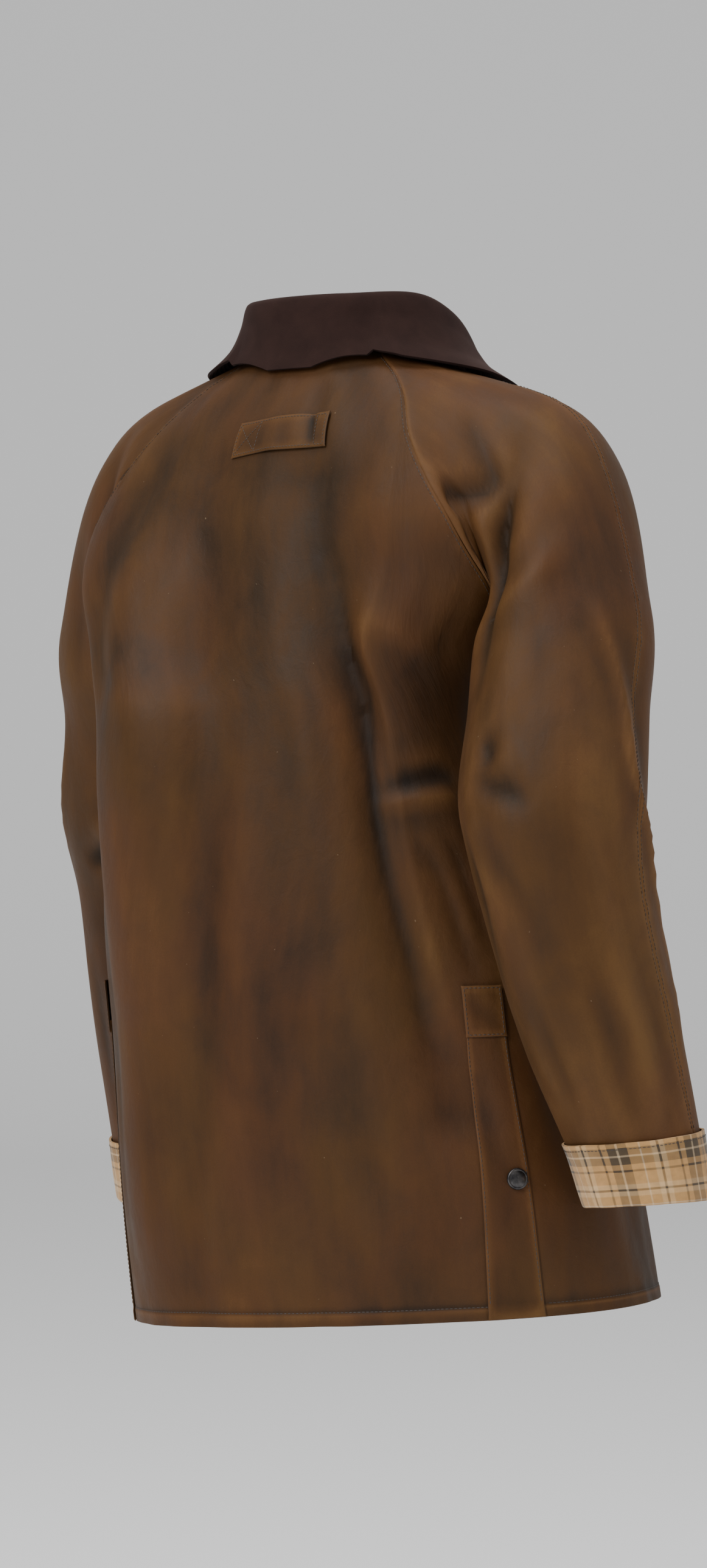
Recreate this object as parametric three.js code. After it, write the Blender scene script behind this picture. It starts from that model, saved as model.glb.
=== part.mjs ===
// A waxed cotton jacket, worn, with nobody in it. Millimetres, +Z up.
// The wearer faces -Y, so +Y is the back and -X is the wearer's right.
// The origin is at the nape, 13 mm below the neck seam at centre back.
import * as THREE from 'three';

// Cloth and gaps
const CLOTH = 1.8;
const SEAM_GAP = 0.5;
const LAY_GAP = 0.7;
const RAD = Math.PI / 180;

// Body sections, from the hem up. height is taken at centre back. left, right, back and front are
// half sizes, power squares the section, turn swings it about Z, roll lowers the wearer's left side,
// drop lowers the front and corner fills out the back towards the wearer's left.
const SECTION_NAMES = [
  'height', 'x', 'y', 'left', 'right', 'back', 'front', 'power', 'turn', 'roll', 'drop', 'corner',
];
const BODY_SECTIONS = [
  [-698,  -24,  -10,  198,  198,  138,  130,  2.4,   10, 0.066,    0,   -4],
  [-600,  -14,   -8,  194,  190,  141,  130,  2.5,   11, 0.04,    0,    3],
  [-500,   -3,   -4,  189,  180,  143,  128,  2.6,   12, 0.02,    0,    0],
  [-400,    6,    2,  183,  166,  144,  126,  2.7,   13,    0,    0,    4],
  [-315,   10,    4,  166,  148,  143,  122,  2.8,   12,    0,    0,   18],
  [-250,    9,    6,  152,  138,  137,  114,  2.8,    8,    0,    0,   30],
  [-205,    6,    6,  158,  152,  130,  114,  2.8,   -2,    0,    0,   33],
  [-155,    3,    4,  186,  182,  124,  112,  2.8,   -4,    0,    4,   25],
  [-105,    0,    2,  196,  196,  119,  106,  2.8,   -8,    0,   14,   15],
  [ -52,    0,    0,  176,  176,  107,   97,  2.7,   -8,    0,   36,    4],
  [ -14,    0,    0,  137,  137,   89,   84,  2.5,   -8,    0,   50,    0],
  [  13,    0,    0,   84,   84,   73,   74,  2.2,   -8,    0,   56,    0],
].map((row) => Object.fromEntries(SECTION_NAMES.map((name, i) => [name, row[i]])));
const HEM = BODY_SECTIONS[0].height;
const NECK = BODY_SECTIONS[BODY_SECTIONS.length - 1].height;

// The raglan seam on the body, from the back of the neck, under the arm, to the front of the neck.
// angle is counted from centre back.
const RAGLAN_SEAM = [
  { angle: 40, height: 13 },
  { angle: 40.5, height: -20 },
  { angle: 41.5, height: -58 },
  { angle: 47.5, height: -104 },
  { angle: 59, height: -160 },
  { angle: 85, height: -208 },
  { angle: 114, height: -168 },
  { angle: 131, height: -112 },
  { angle: 139, height: -55 },
  { angle: 142, height: 13 },
];
const SIDE_SEAM = [
  { height: -698, angle: 63.5 },
  { height: -560, angle: 64 },
  { height: -470, angle: 63.2 },
  { height: -400, angle: 59.5 },
  { height: -330, angle: 54.7 },
  { height: -260, angle: 52.3 },
  { height: -230, angle: 52 },
  { height: 13, angle: 52 },
];

// The wearer's stride turns the panels round the body from the waist down, by this much at full,
// and the arms' swing draws the shoulder blades' cloth round by angle at each height.
const TWIST = { turn: -18, from: -215, full: -520 };
const SWING = [
  { height: -240, angle: 0 },
  { height: -190, angle: -1.5 },
  { height: -130, angle: -5 },
  { height: -58, angle: -5 },
  { height: -20, angle: -2.5 },
  { height: 13, angle: 0 },
];

// Sleeve sections. lean is the arm's way out from straight down, swing its way back.
const RIGHT_ARM = [
  { x: -177, y: 34, z: -120, lean: 74, swing: 6, out: 80, back: 73 },
  { x: -199, y: 60, z: -198, lean: 24, swing: 18, out: 64, back: 66 },
  { x: -207, y: 84, z: -258, lean: 10, swing: 18, out: 64, back: 66 },
  { x: -214, y: 104, z: -318, lean: 7, swing: 6, out: 67, back: 68 },
  { x: -224, y: 102, z: -390, lean: 6, swing: -6, out: 60, back: 62 },
  { x: -240, y: 78, z: -484, lean: 6, swing: -8, out: 55, back: 56 },
  { x: -254, y: 54, z: -562, lean: 5, swing: -2, out: 47, back: 48 },
  { x: -260, y: 44, z: -603, lean: 5, swing: 2, out: 44, back: 46 },
];
const LEFT_ARM = [
  { x: 187, y: -12, z: -116, lean: 80, swing: -5, out: 82, back: 73 },
  { x: 219, y: -38, z: -196, lean: 20, swing: -14, out: 62, back: 66 },
  { x: 228, y: -62, z: -258, lean: 10, swing: -16, out: 64, back: 66 },
  { x: 238, y: -82, z: -326, lean: 6, swing: -16, out: 67, back: 68 },
  { x: 244, y: -98, z: -390, lean: 3, swing: -14, out: 60, back: 62 },
  { x: 249, y: -114, z: -490, lean: 1, swing: -10, out: 55, back: 56 },
  { x: 248, y: -124, z: -584, lean: 0, swing: -6, out: 47, back: 48 },
  { x: 248, y: -132, z: -636, lean: 0, swing: -4, out: 44, back: 46 },
];

// The largest folds of the body, as soft troughs through three places. depth is how far in.
const BODY_FOLDS = [
  { angles: [-17, -22, -33], heights: [-80, -330, -660], width: 24, depth: 8 },
  { angles: [13, 26, 31], heights: [-90, -240, -540], width: 20, depth: 8 },
  { angles: [-33, -38, -44], heights: [-60, -130, -220], width: 14, depth: 4 },
  { angles: [150, 152, 148], heights: [-120, -360, -600], width: 26, depth: 6 },
  { angles: [-148, -156, -150], heights: [-140, -400, -620], width: 26, depth: 6 },
];

// Trim
const CUFF_HEIGHT = 50;
const STRIP = { hemSpan: 12.5, topSpan: 9, edge: 0.4, top: -480 };
const TAB = { span: 9.2, top: -451, bottom: -489 };
const LABEL = { width: 84, height: 25, angle: 6.8, middle: -51.5, tilt: 3, rise: 1.2, perDegree: 3.07 };
const STUD = { radius: 7.8, height: 3.2, sides: 14 };
const VENT_STUD = { in: 3.4, height: -594 };
const FRONT_STUDS = { first: -92, step: -116, count: 5 };
const FLY = { lap: 7, from: 166, full: 172, rise: 3.2 };

const COLOURS = {
  cloth: 0x5f4630,
  cord: 0x3a2622,
  check: 0xbe9664,
  metal: 0x3b3a3c,
};

function material(colour, roughness, metalness) {
  return new THREE.MeshStandardMaterial({ color: colour, roughness, metalness });
}
const CLOTH_LOOK = material(COLOURS.cloth, 0.62, 0);
const CORD_LOOK = material(COLOURS.cord, 0.9, 0);
const CHECK_LOOK = material(COLOURS.check, 0.85, 0);
const METAL_LOOK = material(COLOURS.metal, 0.38, 0.9);

// Curves through table rows

function slope(keys, values, i) {
  const before = Math.max(i - 1, 0);
  const after = Math.min(i + 1, keys.length - 1);
  return (values[after] - values[before]) / (keys[after] - keys[before]);
}

// A smooth value at key between the values of neighbouring rows.
function along(keys, values, key) {
  const last = keys.length - 1;
  const inside = Math.min(Math.max(key, keys[0]), keys[last]);
  let i = 0;
  while (i < last - 1 && inside > keys[i + 1]) {
    i += 1;
  }
  const span = keys[i + 1] - keys[i];
  const t = (inside - keys[i]) / span;
  const a = slope(keys, values, i) * span;
  const b = slope(keys, values, i + 1) * span;
  const rise = t * t * (3 - 2 * t);
  return values[i] * (1 - rise) + values[i + 1] * rise + a * t * (1 - t) ** 2 - b * t * t * (1 - t);
}

function column(table, name) {
  return table.map((row) => row[name]);
}

const SECTION_HEIGHTS = column(BODY_SECTIONS, 'height');
const SECTION_VALUES = SECTION_NAMES.map((name) => column(BODY_SECTIONS, name));

function bodySection(height) {
  const section = {};
  SECTION_NAMES.forEach((name, i) => {
    section[name] = along(SECTION_HEIGHTS, SECTION_VALUES[i], height);
  });
  return section;
}

function smoothStep(low, high, value) {
  const t = Math.min(Math.max((value - low) / (high - low), 0), 1);
  return t * t * (3 - 2 * t);
}

// Body surface

// The place on the body with no folds. angle is in degrees from centre back, towards the wearer's right.
function bodyForm(angle, height) {
  const s = bodySection(height);
  const sine = Math.sin(angle * RAD);
  const cosine = Math.cos(angle * RAD);
  const side = sine > 0 ? s.right : s.left;
  const depth = cosine > 0 ? s.back : s.front;
  const round = (Math.abs(sine) ** s.power + Math.abs(cosine) ** s.power) ** (-1 / s.power);
  const unit = cosine * round;
  const corner = s.corner * smoothStep(-82, -52, angle) * smoothStep(-8, -40, angle);
  const px = -(side * round + corner) * sine;
  const py = depth * unit + corner * cosine;
  const turn = s.turn * RAD;
  const x = s.x + px * Math.cos(turn) - py * Math.sin(turn);
  const y = s.y + px * Math.sin(turn) + py * Math.cos(turn);
  const z = height - s.roll * x - s.drop * ((1 - unit) / 2) ** 2;
  return new THREE.Vector3(x, y, z);
}

// The way out of a surface, from its neighbours in both directions.
function outward(surface, u, v, stepU, stepV) {
  const du = surface(u + stepU, v).sub(surface(u - stepU, v));
  const dv = surface(u, v + stepV).sub(surface(u, v - stepV));
  return du.cross(dv).normalize();
}

const ANGLE_MM = 2.9;

// How far in the folds press the cloth.
function foldDepth(angle, height) {
  let sum = 0;
  for (const fold of BODY_FOLDS) {
    const heights = [...fold.heights].reverse();
    const angles = [...fold.angles].reverse();
    const level = Math.min(Math.max(height, heights[0]), heights[2]);
    const middle = along(heights, angles, level);
    const across = (angle - middle) * ANGLE_MM;
    const beyond = height - level;
    sum += fold.depth * Math.exp(-(across ** 2 + beyond ** 2) / (2 * fold.width ** 2));
  }
  const calm = smoothStep(NECK + 4, NECK - 50, height) * (0.5 + 0.5 * smoothStep(HEM, HEM + 120, height));
  return sum * calm;
}

function body(angle, height) {
  const wrapped = ((angle + 180) % 360 + 360) % 360 - 180;
  const place = bodyForm(angle, height);
  const depth = foldDepth(wrapped, height);
  if (depth < 0.01) {
    return place;
  }
  const out = outward(bodyForm, angle, height, 0.5, 1.5);
  return place.addScaledVector(out, -depth);
}

const SWING_HEIGHTS = column(SWING, 'height');
const SWING_ANGLES = column(SWING, 'angle');

// The angle on the body of a place that is at an angle on the flat, untwisted panels.
function turned(angle, height) {
  const stride = TWIST.turn * smoothStep(TWIST.from, TWIST.full, height);
  const swing = along(SWING_HEIGHTS, SWING_ANGLES, height) * smoothStep(85, 58, Math.abs(angle));
  return angle + stride + swing;
}

// The body surface faces out for growing height after growing angle, on either side.
function bodyOut(angle, height) {
  const low = Math.max(height - 1.5, HEM);
  const high = Math.min(height + 1.5, NECK);
  const du = body(angle + 0.6, height).sub(body(angle - 0.6, height));
  const dv = body(angle, high).sub(body(angle, low));
  return dv.cross(du).normalize().negate();
}

// Walls

// A closed wall from a grid of outer points and the way out at each.
function wall(rows, columns, place, closed, thickness) {
  const points = [];
  const outer = [];
  const inner = [];
  for (let i = 0; i < rows; i += 1) {
    for (let j = 0; j < columns; j += 1) {
      const spot = place(i, j);
      outer.push(points.length);
      points.push(spot.point);
      inner.push(points.length);
      points.push(spot.point.clone().addScaledVector(spot.out, -(spot.thickness ?? thickness)));
    }
  }
  const at = (i, j) => i * columns + (j % columns);
  const faces = [];
  const quad = (a, b, c, d) => faces.push(a, b, c, a, c, d);
  const spans = closed ? columns : columns - 1;
  for (let i = 0; i < rows - 1; i += 1) {
    for (let j = 0; j < spans; j += 1) {
      const corners = [at(i, j), at(i, j + 1), at(i + 1, j + 1), at(i + 1, j)];
      quad(...corners.map((k) => outer[k]));
      quad(...corners.reverse().map((k) => inner[k]));
    }
  }
  for (let j = 0; j < spans; j += 1) {
    quad(outer[at(0, j)], inner[at(0, j)], inner[at(0, j + 1)], outer[at(0, j + 1)]);
    const top = rows - 1;
    quad(outer[at(top, j + 1)], inner[at(top, j + 1)], inner[at(top, j)], outer[at(top, j)]);
  }
  if (!closed) {
    const end = columns - 1;
    for (let i = 0; i < rows - 1; i += 1) {
      quad(outer[at(i + 1, 0)], inner[at(i + 1, 0)], inner[at(i, 0)], outer[at(i, 0)]);
      quad(outer[at(i, end)], inner[at(i, end)], inner[at(i + 1, end)], outer[at(i + 1, end)]);
    }
  }
  return solid(points, faces);
}

function volume(points, faces) {
  let sum = 0;
  for (let i = 0; i < faces.length; i += 3) {
    const [a, b, c] = [points[faces[i]], points[faces[i + 1]], points[faces[i + 2]]];
    sum += a.dot(b.clone().cross(c));
  }
  return sum / 6;
}

function solid(points, faces) {
  if (volume(points, faces) < 0) {
    faces.reverse();
  }
  const geometry = new THREE.BufferGeometry();
  const flat = points.flatMap((point) => [point.x, point.y, point.z]);
  geometry.setAttribute('position', new THREE.Float32BufferAttribute(flat, 3));
  geometry.setIndex(faces);
  geometry.computeVertexNormals();
  return geometry;
}

// Moves a grid's border in by half a seam gap, along the surface.
function seamed(rows, columns, place, edges) {
  return (i, j) => {
    const spot = place(i, j);
    const shift = new THREE.Vector3();
    const pull = (other) => {
      const way = place(...other).point.sub(spot.point);
      shift.addScaledVector(way.normalize(), SEAM_GAP / 2);
    };
    if (edges.includes('left') && j === 0) {
      pull([i, 1]);
    }
    if (edges.includes('right') && j === columns - 1) {
      pull([i, columns - 2]);
    }
    if (edges.includes('top') && i === rows - 1) {
      pull([i - 1, j]);
    }
    return { ...spot, point: spot.point.clone().add(shift) };
  };
}

// Body panels

const SIDE_HEIGHTS = column(SIDE_SEAM, 'height');
const SIDE_ANGLES = column(SIDE_SEAM, 'angle');
const SEAM_STEPS = RAGLAN_SEAM.map((row, i) => i);
const SEAM_ANGLES = column(RAGLAN_SEAM, 'angle');
const SEAM_HEIGHTS = column(RAGLAN_SEAM, 'height');
const UNDERARM_STEP = 5;

function sideAngle(height) {
  return along(SIDE_HEIGHTS, SIDE_ANGLES, height);
}

// The raglan seam at step 0 (back of the neck) to 9 (front of the neck).
function raglan(step) {
  return {
    angle: along(SEAM_STEPS, SEAM_ANGLES, step),
    height: along(SEAM_STEPS, SEAM_HEIGHTS, step),
  };
}

// The step at which the raglan seam meets the side seam.
function sideStep() {
  let low = 1;
  let high = UNDERARM_STEP;
  for (let i = 0; i < 40; i += 1) {
    const middle = (low + high) / 2;
    const seam = raglan(middle);
    if (seam.angle < sideAngle(seam.height)) {
      low = middle;
    } else {
      high = middle;
    }
  }
  return (low + high) / 2;
}
const SIDE_STEP = sideStep();
const LAST_STEP = SEAM_STEPS.length - 1;

// Stops along each stretch of the seam. Panels and sleeves share them, so their edges run side by side.
const BODY_ROWS = 23;
const BACK_NECK = { stops: 5, share: 0.4 };
const BACK_SEAM = { stops: 8 };
const UNDERARM = { stops: 3, share: 0.2 };
const FRONT_SEAM = { stops: 8, share: 0.74 };
const FRONT_STOPS = [150, 161, 167, 172, 179.5, 180 + FLY.lap];
const BACK_COLUMNS = 2 * (BACK_NECK.stops + BACK_SEAM.stops) + 1;
const FRONT_COLUMNS = UNDERARM.stops + FRONT_SEAM.stops + FRONT_STOPS.length + 1;

function mix(a, b, t) {
  return a + (b - a) * t;
}

// The back's columns run from side seam to side seam, with centre back in the middle.
function backSpot(i, j) {
  const middle = (BACK_COLUMNS - 1) / 2;
  const stop = Math.abs(j - middle);
  const sign = Math.sign(j - middle);
  let size;
  let top;
  if (stop <= BACK_NECK.stops) {
    const part = stop / BACK_NECK.stops;
    size = BACK_NECK.share * part;
    top = { angle: part * SEAM_ANGLES[0], height: NECK };
  } else {
    const part = (stop - BACK_NECK.stops) / BACK_SEAM.stops;
    size = mix(BACK_NECK.share, 1, part);
    top = raglan(SIDE_STEP * part);
  }
  const t = i / (BODY_ROWS - 1);
  const height = HEM + (top.height - HEM) * t;
  const plain = size * sideAngle(height);
  const reach = size * sideAngle(top.height);
  const angle = sign * (plain + (top.angle - reach) * smoothStep(0.35, 1, t));
  const onBody = turned(angle, height);
  return { point: body(onBody, height), out: bodyOut(onBody, height) };
}

function backPanel() {
  const place = seamed(BODY_ROWS, BACK_COLUMNS, backSpot, ['left', 'right']);
  return wall(BODY_ROWS, BACK_COLUMNS, place, false, CLOTH);
}

// A front runs from the side seam (0), under the arm, to the front edge (1).
function frontSpot(sign, rise) {
  return (i, j) => {
    let share;
    let top;
    if (j <= UNDERARM.stops) {
      const part = j / UNDERARM.stops;
      share = UNDERARM.share * part;
      top = raglan(mix(SIDE_STEP, UNDERARM_STEP, part));
    } else if (j <= UNDERARM.stops + FRONT_SEAM.stops) {
      const part = (j - UNDERARM.stops) / FRONT_SEAM.stops;
      share = mix(UNDERARM.share, FRONT_SEAM.share, part);
      top = raglan(mix(UNDERARM_STEP, LAST_STEP, part));
    } else {
      const angle = FRONT_STOPS[j - UNDERARM.stops - FRONT_SEAM.stops - 1];
      const start = SEAM_ANGLES[LAST_STEP];
      share = mix(FRONT_SEAM.share, 1, (angle - start) / (180 + FLY.lap - start));
      top = { angle, height: NECK };
    }
    const t = i / (BODY_ROWS - 1);
    const height = HEM + (top.height - HEM) * t;
    const from = sideAngle(height);
    const plain = mix(from, 180 + FLY.lap, share);
    const reach = mix(sideAngle(top.height), 180 + FLY.lap, share);
    const angle = sign * (plain + (top.angle - reach) * smoothStep(0.35, 1, t));
    const onBody = turned(angle, height);
    const out = bodyOut(onBody, height);
    const over = smoothStep(FLY.from, FLY.full, Math.abs(angle)) * rise;
    return { point: body(onBody, height).addScaledVector(out, over), out };
  };
}

function frontPanel(sign, rise) {
  const place = seamed(BODY_ROWS, FRONT_COLUMNS, frontSpot(sign, rise), ['left']);
  return wall(BODY_ROWS, FRONT_COLUMNS, place, false, CLOTH);
}

// Sleeves

const SLEEVE_ROWS = 23;
const SLEEVE_NECK = { stops: 2, turn: 38 };
const SHOULDER = 88;
const UNDERARM_BEND = 150;
const UNDERARM_EASE = { rows: 5, gap: 2.7 };

// The turns of a half's columns, and so its stops along the seam.
function halfTurns(front) {
  const seam = front ? FRONT_SEAM.stops : BACK_SEAM.stops + UNDERARM.stops;
  const turns = [];
  for (let k = 0; k < SLEEVE_NECK.stops; k += 1) {
    turns.push((SLEEVE_NECK.turn * k) / SLEEVE_NECK.stops);
  }
  for (let k = 0; k <= seam; k += 1) {
    turns.push(mix(SLEEVE_NECK.turn, 180, k / seam));
  }
  return front ? turns.map((turn) => 360 - turn).reverse() : turns;
}

function armSection(row, sign) {
  const lean = row.lean * RAD;
  const swing = row.swing * RAD;
  const down = new THREE.Vector3(
    sign * Math.sin(lean) * Math.cos(swing),
    Math.sin(swing),
    -Math.cos(lean) * Math.cos(swing),
  );
  const guide = new THREE.Vector3(sign * Math.cos(lean), 0, Math.sin(lean));
  const back = guide.clone().cross(down).multiplyScalar(sign).normalize();
  if (back.y < 0) {
    back.negate();
  }
  const out = back.clone().cross(down).normalize();
  if (out.dot(guide) < 0) {
    out.negate();
  }
  return { centre: new THREE.Vector3(row.x, row.y, row.z), down, out, back, row };
}

// A place round a sleeve section. turn 0 is the over-arm seam, 90 the back, 180 under the arm.
function roundArm(section, turn) {
  const { centre, out, back, row } = section;
  return centre.clone()
    .addScaledVector(out, row.out * Math.cos(turn * RAD))
    .addScaledVector(back, row.back * Math.sin(turn * RAD));
}

// The seam line that a sleeve starts from, at the same turns.
function sleeveStart(turn) {
  const around = ((turn % 360) + 360) % 360;
  const back = around <= 180;
  const size = back ? around : 360 - around;
  if (size <= SLEEVE_NECK.turn) {
    const corner = back ? SEAM_ANGLES[0] : SEAM_ANGLES[LAST_STEP];
    return { angle: mix(SHOULDER, corner, size / SLEEVE_NECK.turn), height: NECK };
  }
  const part = (size - SLEEVE_NECK.turn) / (180 - SLEEVE_NECK.turn);
  if (!back) {
    return raglan(mix(LAST_STEP, UNDERARM_STEP, part));
  }
  const side = BACK_SEAM.stops / (BACK_SEAM.stops + UNDERARM.stops);
  const step = part < side
    ? mix(0, SIDE_STEP, part / side)
    : mix(SIDE_STEP, UNDERARM_STEP, (part - side) / (1 - side));
  return raglan(step);
}

function makeSleeve(arm, sign) {
  const sections = arm.map((row) => armSection(row, sign));
  const marks = [0];
  const seamCentre = new THREE.Vector3(sign * 120, 10, -70);
  sections.forEach((section, i) => {
    const from = i === 0 ? seamCentre : sections[i - 1].centre;
    marks.push(marks[i] + Math.max(from.distanceTo(section.centre), 40));
  });
  const startPoint = (turn) => {
    const seam = sleeveStart(turn);
    return body(turned(-sign * seam.angle, seam.height), seam.height);
  };
  const startOut = (turn) => {
    const seam = sleeveStart(turn);
    return bodyOut(turned(-sign * seam.angle, seam.height), seam.height);
  };
  // How far the sleeve is folded over at the seam: flat on top, turned back under the arm.
  const bend = (turn) => {
    const around = ((turn % 360) + 360) % 360;
    const size = Math.min(around, 360 - around);
    return { size, angle: UNDERARM_BEND * RAD * smoothStep(125, 180, size) };
  };
  // The way in the body's cloth from the seam to the arm.
  const leaving = (turn) => {
    const out = startOut(turn);
    const square = new THREE.Vector3();
    for (const side of [-7, 0, 7]) {
      const line = startPoint(turn + side + 3).sub(startPoint(turn + side - 3)).normalize();
      square.add(startOut(turn + side).cross(line).normalize().multiplyScalar(-sign));
    }
    const flow = roundArm(sections[0], turn).sub(startPoint(turn));
    flow.addScaledVector(out, -flow.dot(out)).normalize();
    const share = 0.25 + 0.75 * smoothStep(90, 130, bend(turn).size);
    return flow.multiplyScalar(1 - share).addScaledVector(square.normalize(), share).normalize();
  };
  const startWay = (turn) => {
    const { angle } = bend(turn);
    return leaving(turn).multiplyScalar(Math.cos(angle)).addScaledVector(startOut(turn), Math.sin(angle));
  };
  const edge = (turn) => {
    const { angle } = bend(turn);
    const out = startOut(turn);
    const away = leaving(turn);
    const flat = (1 + Math.cos(angle)) / 2;
    return {
      point: startPoint(turn)
        .addScaledVector(away, SEAM_GAP * flat)
        .addScaledVector(out, 2 * SEAM_GAP * (1 - flat)),
      out: out.multiplyScalar(Math.cos(angle)).addScaledVector(away, -Math.sin(angle)),
    };
  };
  const place = (turn, mark) => {
    const points = [startPoint(turn), ...sections.map((section) => roundArm(section, turn))];
    const last = points.length - 1;
    const inside = Math.min(Math.max(mark, 0), marks[last]);
    let i = 0;
    while (i < last - 1 && inside > marks[i + 1]) {
      i += 1;
    }
    const tangent = (k) => {
      if (k === 0) {
        return startWay(turn).multiplyScalar(points[1].distanceTo(points[0]) * 0.8 / marks[1]);
      }
      const before = k - 1;
      const after = Math.min(k + 1, last);
      return points[after].clone().sub(points[before]).divideScalar(marks[after] - marks[before]);
    };
    const span = marks[i + 1] - marks[i];
    const t = (inside - marks[i]) / span;
    const rise = t * t * (3 - 2 * t);
    return points[i].clone().multiplyScalar(1 - rise)
      .addScaledVector(points[i + 1], rise)
      .addScaledVector(tangent(i), span * t * (1 - t) ** 2)
      .addScaledVector(tangent(i + 1), -span * t * t * (1 - t));
  };
  const length = marks[marks.length - 1];
  const way = (turn, mark) => {
    const du = place(turn + 2, mark).sub(place(turn - 2, mark));
    const dv = place(turn, Math.min(mark + 2, length)).sub(place(turn, Math.max(mark - 2, 0)));
    return du.cross(dv).normalize().multiplyScalar(-sign);
  };
  return { place, way, edge, length };
}

function sleeveHalf(sleeve, front) {
  const turns = halfTurns(front);
  const spot = (i, j) => {
    const turn = turns[j];
    if (i === 0) {
      return sleeve.edge(turn);
    }
    const mark = (sleeve.length * i) / (SLEEVE_ROWS - 1);
    return { point: sleeve.place(turn, mark), out: sleeve.way(turn, mark) };
  };
  // The two halves part a little under the arm, where the cloth turns sharply.
  const under = front ? 0 : turns.length - 1;
  const eased = (i, j) => {
    const found = spot(i, j);
    if (j === under && i < UNDERARM_EASE.rows) {
      const way = spot(i, front ? 1 : under - 1).point.sub(found.point).normalize();
      found.point.addScaledVector(way, UNDERARM_EASE.gap);
    }
    return found;
  };
  const place = seamed(SLEEVE_ROWS, turns.length, eased, ['left', 'right']);
  return wall(SLEEVE_ROWS, turns.length, place, false, CLOTH);
}

const CUFF_ROWS = 4;
const CUFF_COLUMNS = 24;
const CUFF_CLOTH = 1.8;
const CUFF_CLEAR = 1.1;

function cuff(sleeve) {
  const place = (i, j) => {
    const turn = (360 * j) / CUFF_COLUMNS;
    const mark = sleeve.length - CUFF_HEIGHT * (1 - i / (CUFF_ROWS - 1));
    const out = sleeve.way(turn, mark);
    return { point: sleeve.place(turn, mark).addScaledVector(out, CUFF_CLEAR + CUFF_CLOTH), out };
  };
  return wall(CUFF_ROWS, CUFF_COLUMNS, place, true, CUFF_CLOTH);
}

const rightSleeve = makeSleeve(RIGHT_ARM, -1);
const leftSleeve = makeSleeve(LEFT_ARM, 1);

// Collar

const COLLAR_END = 164;
const COLLAR_COLUMNS = 37;
const COLLAR_THICK = 2.6;
const COLLAR_CLEAR = 3.4;
const COLLAR_DROP = -16;

// The cloth under the fall: the place on the body or sleeve that lies reach out from the neck seam.
function underFall(angle, reach) {
  const size = Math.abs(angle);
  const first = SEAM_ANGLES[0];
  const last = SEAM_ANGLES[LAST_STEP];
  const seat = bodyForm(angle, NECK);
  let at = (part) => body(angle, NECK - part * 110);
  if (size > first && size < last) {
    const sleeve = angle > 0 ? rightSleeve : leftSleeve;
    const end = size < SHOULDER ? first : last;
    const turn = ((SHOULDER - size) / Math.abs(SHOULDER - end)) * SLEEVE_NECK.turn;
    at = (part) => sleeve.place(turn, part * 110);
  }
  let low = 0;
  let high = 1;
  for (let i = 0; i < 30; i += 1) {
    const middle = (low + high) / 2;
    const place = at(middle);
    if (Math.hypot(place.x - seat.x, place.y - seat.y) < reach) {
      low = middle;
    } else {
      high = middle;
    }
  }
  return at(low);
}

// The collar's section: out is the way from the neck seam, up is above it.
function collarProfile(angle) {
  const size = Math.abs(angle);
  const side = smoothStep(25, 80, size);
  const front = smoothStep(95, 165, size);
  const stand = 37 + 7 * side - 10 * front;
  const lean = -2 - 10 * side + 4 * front;
  const reach = 15 + 26 * side - 8 * front;
  const fold = { out: lean + 9, up: stand * 0.93 };
  const flyRise = 3 * smoothStep(150, COLLAR_END, size);
  const cloth = underFall(angle, reach).z - bodyForm(angle, NECK).z;
  const low = Math.max(cloth + COLLAR_CLEAR, COLLAR_DROP) + flyRise;
  const fall = (outShare, upShare) => ({
    out: mix(fold.out, reach, outShare),
    up: mix(fold.up, low, upShare),
  });
  return [
    { out: 0, up: 0.5 },
    { out: lean * 0.4, up: stand * 0.35 },
    { out: lean * 0.9, up: stand * 0.72 },
    { out: lean + 1, up: stand * 0.95 },
    { out: lean + 5, up: stand },
    fold,
    fall(0.2, 0.36),
    fall(0.52, 0.72),
    fall(1, 1),
  ];
}

function collar() {
  const profiles = [];
  const angles = [];
  for (let j = 0; j < COLLAR_COLUMNS; j += 1) {
    angles.push(mix(-COLLAR_END, COLLAR_END, j / (COLLAR_COLUMNS - 1)));
    profiles.push(collarProfile(angles[j]));
  }
  const rows = profiles[0].length;
  const place = (i, j) => {
    const angle = angles[j];
    const profile = profiles[j];
    const seat = bodyForm(angle, NECK);
    const line = bodyForm(angle + 1, NECK).sub(bodyForm(angle - 1, NECK)).setZ(0).normalize();
    const away = new THREE.Vector3(line.y, -line.x, 0);
    if (away.dot(seat.clone().setZ(0)) < 0) {
      away.negate();
    }
    const point = seat.clone().addScaledVector(away, profile[i].out);
    point.z += profile[i].up;
    const before = profile[Math.max(i - 1, 0)];
    const after = profile[Math.min(i + 1, rows - 1)];
    const run = after.out - before.out;
    const climb = after.up - before.up;
    const size = Math.hypot(run, climb);
    const out = away.clone().multiplyScalar(-climb / size);
    out.z = run / size;
    if (i === 0) {
      out.copy(away).negate();
      out.z = 0;
    }
    point.addScaledVector(out, COLLAR_THICK / 2);
    return { point, out };
  };
  return wall(rows, COLLAR_COLUMNS, place, false, COLLAR_THICK);
}

// Trim that lies on the body

// A flat piece on the body, as rows of heights by columns of angles.
function patch(rows, columns, where, lift, thickness) {
  const place = (i, j) => {
    const spot = where(i / (rows - 1), j / (columns - 1));
    const onBody = turned(spot.angle, spot.height);
    const out = bodyOut(onBody, spot.height);
    const rise = lift + (spot.rise ?? 0) + thickness;
    return { point: body(onBody, spot.height).addScaledVector(out, rise), out };
  };
  return wall(rows, columns, place, false, thickness);
}

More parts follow.
